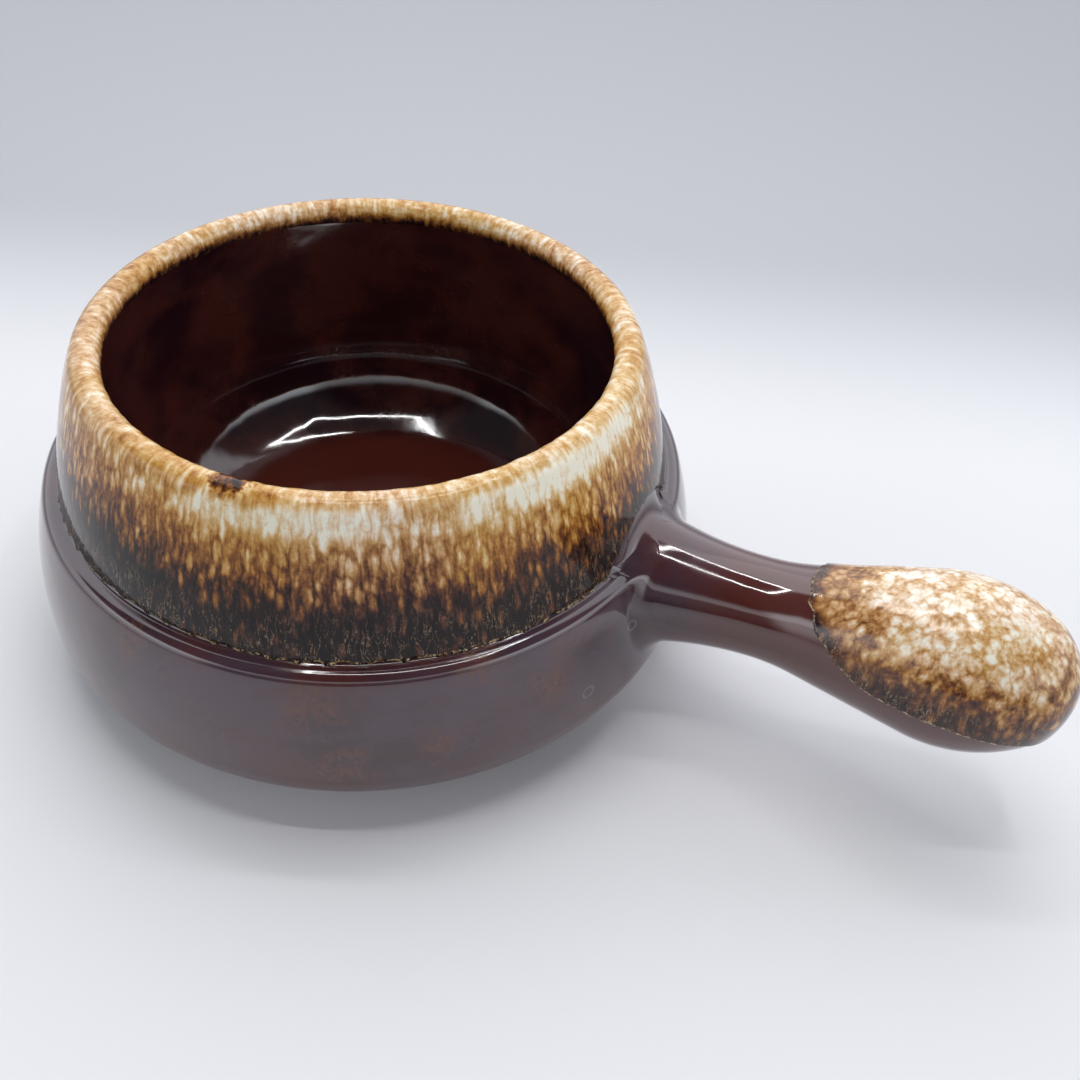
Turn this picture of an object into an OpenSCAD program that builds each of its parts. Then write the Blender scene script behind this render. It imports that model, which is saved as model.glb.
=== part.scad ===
// Stoneware soup bowl with a round stick handle, dipped in brown glaze with a pale drip glaze
// on its rim and on the end of its handle. Millimetres. The handle points along +X, +Z is up,
// and the origin is the middle of the foot on the table.

/* [Bowl] */
// Width over the glazed belly
belly_d = 134; // [124:1:146]
// Height at which the belly is widest
belly_z = 15.2; // [14:0.1:17]
// Radius of the belly's profile above its widest height
belly_arc = 60; // [54:1:70]
// Radius of the profile where the belly turns under
turn_arc = 9.5; // [8:0.1:10.5]
// Height of the ledge between belly and collar
ledge_z = 37.8; // [36:0.1:40]
// Radius of the shoulder, outside the ledge
shoulder_arc = 2.5; // [2:0.1:2.8]
// Step in from the belly's widest place to the collar's foot at the ledge
collar_in = 7.6; // [7.4:0.1:8.5]
// Radius of the collar's gently rounded profile
collar_arc = 90; // [75:1:140]
// Radius of the crease between collar and ledge
crease_arc = 1; // [0.7:0.1:1.2]
// Step in from the collar's foot to the middle of the lip
mouth_in = 9.8; // [8.4:0.1:11.4]
// Height over everything
bowl_h = 65.5; // [62:0.1:72]
// Thickness of the glazed lip and collar
lip_t = 5; // [4.4:0.1:5.6]

/* [Floor and foot] */
// Height of the flat floor inside
floor_z = 6; // [5:0.1:8]
// Radius of the cove between floor and wall
cove_arc = 22; // [16:0.5:28]
// Step in from the belly's widest place to the foot ring
foot_in = 23; // [21:1:25]
// Thickness of the foot ring
foot_t = 4.6; // [3.6:0.1:6]
// Height of the foot ring
foot_h = 1.5; // [1.2:0.1:1.8]
// Rounding of the foot ring's edges
foot_arc = 0.7; // [0.4:0.1:1]

/* [Handle] */
// Height of the handle's axis at the middle of the bowl
axis_z = 21.7; // [20:0.1:23]
// Rise of the handle, in degrees
rise = 5.9; // [3:0.1:8]
// Distance along the axis from the belly's width to the waist
waist_out = 17.3; // [13:0.1:23]
// Width of the glazed waist
waist_d = 19; // [17:0.1:21]
// Radius of the flare from the waist to the root
flare_arc = 69; // [60:1:90]
// Radius of the neck's hollow from the waist to the knob
neck_arc = 41; // [34:1:52]
// Length from the waist to the knob's widest place
neck_l = 34.84; // [32:0.02:40]
// Width of the glazed knob
knob_d = 30.8; // [29:0.1:33]
// Radius of the knob's profile
knob_arc = 26.4; // [24:0.1:32]
// Length from the knob's widest place to its end
knob_l = 20.16; // [19:0.02:22]
// Thickness of the cast handle wall
cast_t = 4.6; // [3.6:0.1:5.4]
// Width of the vent in the underside of the handle
vent_d = 2.4; // [1.6:0.1:3]

/* [Joint and glazes] */
// Thickness of the slip between handle and wall
slip_t = 0.5; // [0.3:0.05:0.8]
// Radius of the bead of slip round the root
bead_arc = 1.6; // [1.2:0.1:2]
// Radius of the glaze that pools round the root
pool_arc = 3; // [2.6:0.1:3.6]
// Thickness of the brown glaze
glaze_t = 0.4; // [0.3:0.05:0.6]
// Thickness of the drip glaze on the lip
drip_t = 0.5; // [0.4:0.05:0.7]
// Extra thickness of the drip glaze at its lower bead
bead_t = 0.35; // [0.2:0.05:0.5]
// Gap that keeps each layer clear of the next
coat_gap = 0.05; // [0.03:0.01:0.08]
// Gap under the drip glazes, whose inner faces are made of small flats
drip_gap = 0.16; // [0.12:0.01:0.2]
// Depth of the drip glaze inside the mouth, from the top
drip_in = 3.8; // [3.6:0.1:6]
// Height of the drips' ends above the ledge
drip_up = 1.6; // [1.2:0.1:3]
// Rise of the drips' ends over the handle's root
drip_lift = 4.5; // [4:0.1:6]
// Height of the scallops along the drips' ends
scallop_h = 0.8; // [0.4:0.1:1.2]
// Distance along the axis from the waist to the middle of the handle's drip glaze
cap_out = 31.4; // [28:0.1:36]
// Depth of the scallops along the edge of the handle's drip glaze
cap_wave = 0.43; // [0.2:0.01:0.6]

/* [Hidden] */
$fn = 96;

// Clear run of cuts past what they cut
over = 1;
// How far inside the belly's width the handle's solids start, before the wall cuts them
root_in = 21;
// Bare clay that the glaze leaves round the foot
dry_w = 0.8;

// Sag of the flats that stand for an arc: less than the gap between two layers
arc_sag = 0.02;

// Rings and rows of the drips and of the joint, and their lobes
rim_steps = 144;
rim_lobes = 48;
cap_steps = 64;
cap_lobes = 16;
joint_steps = 48;
arc_rows = 6;

// Where the rows of the rim's drip glaze lie down the collar, outside and inside
outer_shares = [0.2, 0.45, 0.7, 0.88, 0.97, 1];
inner_shares = [0.33, 0.67, 1];
// Where the rings of the handle's drip glaze lie between its middle and its edge
cap_shares = [0.12, 0.25, 0.38, 0.5, 0.62, 0.74, 0.85, 0.94, 1];
// Polar angle of the edge of the handle's drip glaze round its middle, as cosine terms in degrees
cap_edge = [90.7, 15.6, -3.4, 4.9, -1.7];
// How the scallops of the rim's drips divide over their lobes and two slow waves, and those waves' counts
scallop_shares = [0.7, 0.2, 0.1];
slow_waves = [7, 11];
// Where the slip's flat faces get rows of points across the wall of the handle
film_shares = [0.25, 0.5, 0.75];
// How often the way between two places is halved to find where faces meet
halvings = 26;

belly_r = belly_d / 2;
foot_r = belly_r - foot_in;
collar_r = belly_r - collar_in;
lip_r = lip_t / 2;
waist_r = waist_d / 2;
knob_r = knob_d / 2;

// Places along the handle's axis, from the middle of the bowl
root_from = belly_r - root_in;
waist_at = belly_r + waist_out;
cap_at = waist_at + cap_out;
reach = waist_at + neck_l + knob_l;

// Depth of the clay under the brown glaze's surface, and of the hollow inside the handle
clay_in = glaze_t + coat_gap;
hollow_in = clay_in + cast_t;

function dir(a) = [cos(a), sin(a)];
function turn(from, to) = atan2(to.y - from.y, to.x - from.x);
function sq(x) = x * x;

// Half the width of a circle of radius r at the distance h from its middle
function half_chord(r, h) = sqrt(max(sq(r) - sq(h), 0));

// Radius of an arc that starts level at [x, z] and runs into the arc of centre c and radius r inside it
function level_arc(x, z, c, r) = (sq(r) - sq(c.x - x) - sq(z - c.y)) / (2 * (z - c.y + r));

// The point ra from a and rb from b that lies on the left of the way from a to b
function meet(a, ra, b, rb) = let (d = norm(b - a), u = (b - a) / d,
        s = (sq(ra) - sq(rb) + sq(d)) / (2 * d))
    a + s * u + half_chord(ra, s) * [-u.y, u.x];

// Middles of the arcs of the bowl's outer profile, each tangent to the next
rim_c = [collar_r - mouth_in, bowl_h - drip_gap - drip_t - lip_r];
belly_c = [belly_r - belly_arc, belly_z];
turn_c = [belly_r - turn_arc, belly_z];
under_arc = level_arc(foot_r, foot_h, turn_c, turn_arc);
under_c = [foot_r, foot_h + under_arc];
shoulder_c = [belly_c.x + half_chord(belly_arc - shoulder_arc, ledge_z - shoulder_arc - belly_z),
              ledge_z - shoulder_arc];
collar_c = meet([collar_r, ledge_z], collar_arc, rim_c, collar_arc - lip_r);
crease_c = [collar_c.x + half_chord(collar_arc + crease_arc, ledge_z + crease_arc - collar_c.y),
            ledge_z + crease_arc];

// Middle of the cove, which rests on the floor and runs up into the collar's inner face
cove_z = floor_z + cove_arc;
cove_c = [collar_c.x + half_chord(collar_arc - lip_t - cove_arc, cove_z - collar_c.y), cove_z];

// Angles at which the collar's arcs begin and end, and at which its inner face runs into the cove
collar_low = turn(collar_c, crease_c);
collar_high = turn(collar_c, rim_c);
cove_high = turn(collar_c, cove_c);

// Middles of the arcs of the handle's profile: distance from the axis, then distance along it
flare_c = [waist_r + flare_arc, waist_at];
neck_c = [waist_r + neck_arc, waist_at];
knob_c = [knob_r - knob_arc, waist_at + neck_l];
// Slope of the straight stretch that touches the neck's hollow and the knob's round
neck_slope = atan2(neck_l, neck_c.x - knob_c.x) - acos((neck_arc + knob_arc) / norm(knob_c - neck_c));
end_arc = (sq(knob_arc) - sq(reach - knob_c.y) - sq(knob_c.x)) / (2 * (knob_arc - reach + knob_c.y));
end_c = [0, reach - end_arc];

// Points along an arc from the angle a to b, out from its middle c by the radius r and the offset d.
// The steps depend on r alone, so that the layers over one arc have their corners side by side.
function arc(c, r, d, a, b) = let (n = ceil(abs(b - a) / (2 * acos(1 - arc_sag / r))))
    [for (i = [0:n]) c + (r + d) * dir(a + (b - a) * i / n)];

// The bowl's outer face in by the depth d, from the foot up to the top of the lip
function outside(d) = concat(
    arc(under_c, under_arc, -d, -90, turn(under_c, turn_c)),
    arc(turn_c, turn_arc, -d, turn(under_c, turn_c), 0),
    arc(belly_c, belly_arc, -d, 0, turn(belly_c, shoulder_c)),
    arc(shoulder_c, shoulder_arc, -d, turn(belly_c, shoulder_c), 90),
    arc(crease_c, crease_arc, d, 270, 180 + collar_low),
    arc(collar_c, collar_arc, -d, collar_low, collar_high),
    arc(rim_c, lip_r, -d, collar_high, 90));

// The bowl's inner face, in by the depth d, from the top of the lip down to the edge of the floor
function inside(d) = concat(
    arc(rim_c, lip_r, -d, 90, 180 + collar_high),
    arc(collar_c, collar_arc - lip_t, d, collar_high, cove_high),
    arc(cove_c, cove_arc, d, cove_high, -90));

function back(points) = [for (i = [len(points) - 1:-1:0]) points[i]];

// The half profile of the bowl filled to its lip, in by the depth d
module filled_half(d) {
    polygon(concat([[0, foot_h + d]], outside(d), [[0, rim_c.y + lip_r - d]]));
}

// The half profile of the space that the handle's glaze keeps clear of, out by more than the crease's arc
module kept_half(w) {
    knee = meet(collar_c, collar_arc + w, shoulder_c, shoulder_arc + w);
    polygon(concat([[0, foot_h], [turn_c.x, foot_h]],
        arc(turn_c, turn_arc, w, turn(under_c, turn_c), 0),
        arc(belly_c, belly_arc, w, 0, turn(belly_c, shoulder_c)),
        arc(shoulder_c, shoulder_arc, w, turn(belly_c, shoulder_c), turn(shoulder_c, knee)),
        arc(collar_c, collar_arc, w, turn(collar_c, knee), collar_high),
        [[0, rim_c.y]]));
}

// The half profile of the handle from the distance start along its axis, in by the depth d
module handle_half(d, start) {
    polygon(concat([[0, start]],
        arc(flare_c, flare_arc, d, 180 + asin((waist_at - start) / (flare_arc + d)), 180),
        arc(neck_c, neck_arc, d, 180, 180 - neck_slope),
        arc(knob_c, knob_arc, -d, -neck_slope, turn(knob_c, end_c)),
        arc(end_c, end_arc, -d, turn(knob_c, end_c), 90)));
}

// Lays what is built along +Z on the handle's axis
module on_axis() {
    translate([0, 0, axis_z]) rotate([0, 90 - rise, 0]) children();
}

// The handle's root, wider all round by the length w, where it passes the bowl's outer faces
module root_space(w) {
    difference() {
        on_axis() rotate_extrude() difference() {
            polygon([[0, root_from], [flare_c.x, root_from], flare_c, [0, waist_at]]);
            translate(flare_c + [w, 0]) circle(flare_arc);
        }
        rotate_extrude() filled_half(lip_r);
    }
}

// The foot ring with its rounded edges
module foot_half() {
    inner = foot_r - foot_t;
    top = foot_h + clay_in + over;
    translate([inner, foot_arc]) square([foot_t, top - foot_arc]);
    translate([inner + foot_arc, 0]) square([foot_t - 2 * foot_arc, foot_arc]);
    translate([inner + foot_arc, foot_arc]) circle(foot_arc);
    translate([foot_r - foot_arc, foot_arc]) circle(foot_arc);
}

// The bowl's outer radius at the height z, out by the length out
function bowl_r(z, out) = let (
        lower = z > shoulder_c.y + shoulder_arc + out ? 0
              : z > belly_c.y + (belly_arc + out) * sin(turn(belly_c, shoulder_c))
              ? shoulder_c.x + half_chord(shoulder_arc + out, z - shoulder_c.y)
              : z > belly_z ? belly_c.x + half_chord(belly_arc + out, z - belly_z)
              : z > turn_c.y + (turn_arc + out) * sin(turn(under_c, turn_c))
              ? turn_c.x + half_chord(turn_arc + out, z - belly_z)
              : under_c.x + half_chord(under_arc + out, under_c.y - z),
        upper = z > ledge_z ? collar_c.x + half_chord(collar_arc + out, z - collar_c.y) : 0,
        crease = out < crease_arc && z > ledge_z + out
            && z < crease_c.y - (crease_arc - out) * sin(collar_low)
            ? crease_c.x - half_chord(crease_arc - out, z - crease_c.y) : 0)
    max(lower, upper, crease);

// The handle's radius at the distance t along its axis, out by the length out
function handle_r(t, out) = let (
        n0 = neck_c + (neck_arc - out) * dir(180 - neck_slope),
        n1 = knob_c + (knob_arc + out) * dir(-neck_slope),
        last = knob_c + (knob_arc + out) * dir(turn(knob_c, end_c)))
    t < waist_at ? flare_c.x - half_chord(flare_arc - out, t - waist_at)
    : t < n0.y ? neck_c.x - half_chord(neck_arc - out, t - waist_at)
    : t < n1.y ? n0.x + (t - n0.y) * tan(neck_slope)
    : t < last.y ? knob_c.x + half_chord(knob_arc + out, t - knob_c.y)
    : half_chord(end_arc + out, t - end_c.y);

// A point t along the handle's axis and rho from it, at the angle phi round it
function on_handle(t, rho, phi) = [t * cos(rise) - rho * sin(phi) * sin(rise), rho * cos(phi),
                                   axis_z + t * sin(rise) + rho * sin(phi) * cos(rise)];

// A point of the joint: w outside the handle's face in by the depth d, and out from the bowl's face.
// It lies where the flared face leaves the bowl's face, found by halving the way between lo and hi.
function joint_spot(phi, d, w, out, lo, hi, left) = let (t = (lo + hi) / 2,
        p = on_handle(t, handle_r(t, -d) + w, phi))
    left == 0 ? p
    : norm([p.x, p.y]) > bowl_r(p.z, out) ? joint_spot(phi, d, w, out, lo, t, left - 1)
    : joint_spot(phi, d, w, out, t, hi, left - 1);
function joint(phi, spot) = joint_spot(phi, spot[0], spot[1], spot[2], root_from, waist_at, halvings);

// Rounds of points joined into a closed ring, each round and the ring itself running back to its start
module ring_of(rounds) {
    n = len(rounds);
    m = len(rounds[0]);
    polyhedron([for (r = rounds) for (p = r) p],
        [for (i = [0:n - 1]) for (j = [0:m - 1]) let (a = i * m, b = (i + 1) % n * m, k = (j + 1) % m)
            each [[a + j, b + j, b + k], [a + j, b + k, a + k]]], convexity = 6);
}

module bowl_body() {
    color("tan") rotate_extrude() {
        polygon(concat([[0, foot_h + clay_in]], outside(clay_in), inside(clay_in),
            [[0, floor_z - clay_in]]));
        foot_half();
    }
}

module stick_handle() {
    color("burlywood") difference() {
        on_axis() rotate_extrude() difference() {
            handle_half(clay_in, root_from);
            handle_half(hollow_in, root_from - over);
        }
        rotate_extrude() filled_half(glaze_t - slip_t - 2 * coat_gap);
        vent();
    }
}

// The vent in the underside of the handle's waist
module vent() {
    on_axis() translate([0, 0, waist_at]) rotate([0, 90, 0]) cylinder(d = vent_d, h = waist_r + over);
}

// The slip that joins the handle to the wall, with its hollow bead round the root.
// Each spot is the depth under the handle's face, the way out from there, and the way out from the bowl.
module luting_slip() {
    low = drip_gap - clay_in;
    top = slip_t - glaze_t;
    spots = concat(
        [[hollow_in, 0, low]], [for (k = film_shares) [hollow_in - k * cast_t, 0, low]],
        [[clay_in, drip_gap, low]],
        [for (a = [90:-30:0]) [clay_in, drip_gap + bead_arc * (1 - cos(a)), low + bead_arc * (1 - sin(a))]],
        [[clay_in, drip_gap, top]],
        [for (k = film_shares) [clay_in + k * cast_t, 0, top]], [[hollow_in, 0, top]]);
    color("wheat") ring_of([for (i = [joint_steps - 1:-1:0])
        [for (s = spots) joint(360 * i / joint_steps, s)]]);
}

module bowl_glaze() {
    color([0.20, 0.08, 0.06]) difference() {
        rotate_extrude() difference() {
            polygon(concat(outside(0), inside(0), [[0, floor_z], [0, floor_z - glaze_t]],
                back(inside(glaze_t)), back(outside(glaze_t))));
            square([foot_r + dry_w, foot_h + glaze_t + over]);
        }
        root_space(pool_arc + coat_gap);
    }
}

module handle_glaze() {
    color([0.24, 0.10, 0.07]) difference() {
        on_axis() rotate_extrude() difference() {
            handle_half(0, root_from);
            handle_half(glaze_t, root_from - over);
        }
        rotate_extrude() kept_half(pool_arc + coat_gap);
        vent();
    }
}

// The brown glaze that pools round the root, over the bead of slip
module root_glaze() {
    low = drip_gap - clay_in;
    bead = bead_arc - drip_gap;
    spots = concat(
        [for (a = [0:18:90]) [0, pool_arc * (1 - cos(a)), pool_arc * (1 - sin(a))]],
        [[0, pool_arc, low]],
        [for (a = [90:-30:0]) [clay_in, drip_gap + bead_arc - bead * cos(a),
                               low + bead_arc - bead * sin(a)]],
        [[clay_in, drip_gap, pool_arc]]);
    color([0.14, 0.05, 0.04]) ring_of([for (i = [0:joint_steps - 1])
        [for (s = spots) joint(360 * i / joint_steps, s)]]);
}

module underside_glaze() {
    color([0.20, 0.08, 0.06]) translate([0, 0, foot_h])
        cylinder(r = foot_r - foot_t - dry_w, h = glaze_t);
}

// Height of the drips' ends round the rim, with a scallop for each lobe and slow waves under them
function rim_end(a) = ledge_z + drip_up + drip_lift * pow(max(cos(a), 0), 6)
    - scallop_h * (scallop_shares * [abs(sin(rim_lobes * a / 2)), sin(slow_waves[0] * a),
                                     sin(slow_waves[1] * a)]);

// Offset of a drip glaze's outer face at the share k of the way to its edge, where it is half as thick
function drip_out(k) = drip_gap + (k == 1 ? drip_t / 2 : drip_t + bead_t * sq(k));

// The half profile of the rim's drip glaze at the azimuth a: its outer face down to the drips' ends,
// then its inner face back up and over the lip
function rim_round(a) = let (
        hi = collar_high, lo = asin((rim_end(a) - collar_c.y) / collar_arc),
        start = asin((bowl_h - drip_in - collar_c.y) / (collar_arc - lip_t)),
        in_r = collar_arc - lip_t - drip_gap)
    concat(
        [collar_c + (in_r - drip_t / 2) * dir(start)],
        [for (k = [0:arc_rows])
            rim_c + (lip_r + drip_gap + drip_t) * dir(hi + 180 * (1 - k / arc_rows))],
        [for (k = outer_shares) collar_c + (collar_arc + drip_out(k)) * dir(hi + (lo - hi) * k)],
        [for (k = back(inner_shares)) collar_c + (collar_arc + drip_gap) * dir(hi + (lo - hi) * k)],
        [for (k = [0:arc_rows]) rim_c + (lip_r + drip_gap) * dir(hi + 180 * k / arc_rows)],
        [collar_c + in_r * dir(start)]);

module rim_drip_glaze() {
    color([0.78, 0.60, 0.34]) ring_of([for (i = [0:rim_steps - 1]) let (a = 360 * i / rim_steps)
        [for (p = rim_round(a)) [p.x * cos(a), p.x * sin(a), p.y]]]);
}

// Polar angle of the edge of the handle's drip glaze at the angle a round its middle
function cap_end(a) = cap_edge * [for (k = [0:len(cap_edge) - 1]) cos(k * a)]
    - atan(cap_wave / knob_r) * abs(sin(cap_lobes * a / 2));

// Where the ray from the middle of the knob at the angle a and polar angle v leaves the handle,
// out by the length out, found by halving the way between lo and hi
function cap_spot(a, v, out, lo, hi, left) = let (
        way = (lo + hi) / 2, t = cap_at + way * sin(v) * cos(a),
        y = way * sin(v) * sin(a), w = way * cos(v))
    left == 0 ? [t * cos(rise) - w * sin(rise), y, axis_z + t * sin(rise) + w * cos(rise)]
    : norm([y, w]) > handle_r(t, out) ? cap_spot(a, v, out, lo, way, left - 1)
    : cap_spot(a, v, out, way, hi, left - 1);
function cap(a, v, out) = cap_spot(a, v, out, 0, reach - root_from, halvings);

module handle_drip_glaze() {
    n = cap_steps;
    m = len(cap_shares);
    outer = [for (k = cap_shares) for (i = [0:n - 1]) let (a = 360 * i / n)
        cap(a, k * cap_end(a), drip_out(k))];
    inner = [for (k = back(cap_shares)) for (i = [0:n - 1]) let (a = 360 * i / n)
        cap(a, k * cap_end(a), drip_gap)];
    last = 2 * m * n;
    color([0.80, 0.62, 0.38]) polyhedron(
        concat(outer, inner, [cap(0, 0, drip_gap + drip_t), cap(0, 0, drip_gap)]),
        concat([for (i = [0:n - 1]) [last, (i + 1) % n, i]],
            [for (j = [0:2 * m - 2]) for (i = [0:n - 1]) let (a = j * n, b = a + n, k = (i + 1) % n)
                each [[a + i, a + k, b + k], [a + i, b + k, b + i]]],
            [for (i = [0:n - 1]) [last + 1, last - n + i, last - n + (i + 1) % n]]),
        convexity = 6);
}

bowl_body();
stick_handle();
luting_slip();
bowl_glaze();
handle_glaze();
root_glaze();
underside_glaze();
rim_drip_glaze();
handle_drip_glaze();
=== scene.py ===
"""Looks of a stick-handled stoneware soup bowl with a pale drip glaze over a dark brown one.

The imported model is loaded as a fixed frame. The clay pieces are kept as they are; every coat of
glaze is built here as a smooth closed shell over the same arcs as the solids, and dressed with
procedural glaze finishes. Lengths in the forms are millimetres, and meshes are in metres.
"""

import logging
import math
from collections.abc import Callable
from dataclasses import dataclass
from enum import Enum
from functools import cached_property, reduce

import bpy
import numpy as np
from mathutils import Matrix, Vector


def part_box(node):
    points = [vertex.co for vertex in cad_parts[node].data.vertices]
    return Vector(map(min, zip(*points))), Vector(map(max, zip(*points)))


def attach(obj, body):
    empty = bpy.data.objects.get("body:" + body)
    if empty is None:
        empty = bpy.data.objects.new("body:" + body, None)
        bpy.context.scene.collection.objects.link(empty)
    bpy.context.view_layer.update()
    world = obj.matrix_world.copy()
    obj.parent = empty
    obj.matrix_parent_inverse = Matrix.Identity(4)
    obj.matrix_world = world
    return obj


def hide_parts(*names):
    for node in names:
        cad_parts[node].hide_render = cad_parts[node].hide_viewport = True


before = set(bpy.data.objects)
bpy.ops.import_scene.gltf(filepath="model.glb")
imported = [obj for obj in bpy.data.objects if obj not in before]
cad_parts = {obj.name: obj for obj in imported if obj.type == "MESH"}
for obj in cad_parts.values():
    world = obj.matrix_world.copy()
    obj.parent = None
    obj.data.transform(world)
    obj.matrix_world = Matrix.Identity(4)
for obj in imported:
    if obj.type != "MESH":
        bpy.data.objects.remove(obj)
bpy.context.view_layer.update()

LOG = logging.getLogger("soup_bowl")
MM = 0.001
TAU = 2.0 * math.pi
HALVINGS = 30

UP = (0.0, 0.0, 1.0)
AHEAD = (1.0, 0.0, 0.0)
DOWN = 0.75 * TAU
SKIN = {"Color": "Color", "Height": "Float", "Gloss": "Float"}

Array = np.ndarray
Node = bpy.types.Node
Socket = bpy.types.NodeSocket
Colour = tuple[float, float, float, float]
Triple = tuple[float, float, float]
Scale = Triple | float
Ramp = tuple[float, ...]
Stops = tuple[tuple[float, Colour], ...]


def srgb(red: float, green: float, blue: float) -> Colour:
    """Turns an 8-bit display colour into the linear colour that a shader socket takes.

    Args:
        red: Red, 0 to 255.
        green: Green, 0 to 255.
        blue: Blue, 0 to 255.

    Returns:
        The linear colour with an alpha of one.
    """
    def channel(value: float) -> float:
        """Gives one channel: linear near black, a power of 2.4 above."""
        share = value / 255.0
        return share / 12.92 if share <= 0.04045 else ((share + 0.055) / 1.055) ** 2.4

    return channel(red), channel(green), channel(blue), 1.0


def smooth(value: Array, low: float, high: float) -> Array:
    """Rises from 0 at low to 1 at high along 3x squared less 2x cubed."""
    share = np.clip((value - low) / (high - low), 0.0, 1.0)
    return share * share * (3.0 - 2.0 * share)


@dataclass(frozen=True)
class Ripple:
    """Sines of whole numbers of waves round a circle, each lower by a power of its count."""

    size: float
    counts: range
    fall: float
    seed: int

    def at(self, angle: Array) -> Array:
        """Adds the sines up at phases drawn from the seed, scaled to a deviation near the size.

        Args:
            angle: Angles in radians.

        Returns:
            The sum at each angle.
        """
        phases = np.random.default_rng(self.seed).uniform(0.0, TAU, len(self.counts))
        heights = np.array([count ** -self.fall for count in self.counts])
        total = sum(h * np.sin(n * angle + p) for h, n, p in zip(heights, self.counts, phases))
        return self.size * (total / math.sqrt(0.5 * float((heights ** 2).sum())))


@dataclass(frozen=True)
class Arc:
    """A round stretch of a profile, and the side of it that faces out of the glaze."""

    centre: tuple[float, float]
    radius: float
    start: float
    end: float
    outward: int = 1

    @property
    def length(self) -> float:
        """Gives the arc's length in millimetres."""
        return self.radius * abs(math.radians(self.end - self.start))

    def rows(self, step: float) -> tuple[Array, Array]:
        """Samples the arc: centre plus radius times the heading, at even angles.

        Args:
            step: Longest distance between two samples.

        Returns:
            The points and their outward normals.
        """
        count = max(3, int(math.ceil(self.length / step)) + 1)
        angle = np.radians(np.linspace(self.start, self.end, count))
        heading = np.stack([np.cos(angle), np.sin(angle)], axis=1)
        return np.array(self.centre) + self.radius * heading, self.outward * heading


class Profile:
    """A smooth half outline that can be read at any distance along it."""

    STEP = 0.04

    def __init__(self, stretches: list[tuple[Array, Array]]) -> None:
        """Joins stretches of points and normals end to end and measures the way along them.

        Args:
            stretches: Points and normals of each stretch, in order.
        """
        self.points = np.concatenate([points for points, _ in stretches])
        self.normals = np.concatenate([normals for _, normals in stretches])
        gaps = np.linalg.norm(np.diff(self.points, axis=0), axis=1)
        self.way = np.concatenate([[0.0], np.cumsum(gaps)])

    def at(self, way: Array, out: Array | float = 0.0) -> tuple[Array, Array]:
        """Reads the outline at distances along it, set off along its normal.

        Args:
            way: Distances along the outline.
            out: Offset outwards at each of them.

        Returns:
            The two coordinates of each point.
        """
        first, second, across, up = (np.interp(way, self.way, column) for column in
                                     (*self.points.T, *self.normals.T))
        return first + across * out, second + up * out


def heading(origin: Array, target: Array) -> float:
    """Gives the direction from one point to another in degrees."""
    return math.degrees(math.atan2(target[1] - origin[1], target[0] - origin[0]))


def leg(radius: float, height: float) -> float:
    """Gives half the width of a circle at a height from its middle, by Pythagoras."""
    return math.sqrt(max(radius * radius - height * height, 0.0))


def meeting(first: Array, first_r: float, second: Array, second_r: float) -> Array:
    """Finds the left one of the two points where two circles cross.

    Args:
        first: Middle of the first circle.
        first_r: Its radius.
        second: Middle of the second circle.
        second_r: Its radius.

    Returns:
        The crossing on the left of the way from the first middle to the second.
    """
    span = float(np.linalg.norm(second - first))
    way = (second - first) / span
    along = (first_r ** 2 - second_r ** 2 + span ** 2) / (2.0 * span)
    return first + along * way + leg(first_r, along) * np.array([-way[1], way[0]])


def level_radius(x: float, z: float, centre: Array, radius: float) -> float:
    """Gives the radius of the arc that leaves a level line and runs into an arc inside it."""
    return ((radius ** 2 - (centre[0] - x) ** 2 - (z - centre[1]) ** 2)
            / (2.0 * (z - centre[1] + radius)))


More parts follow.
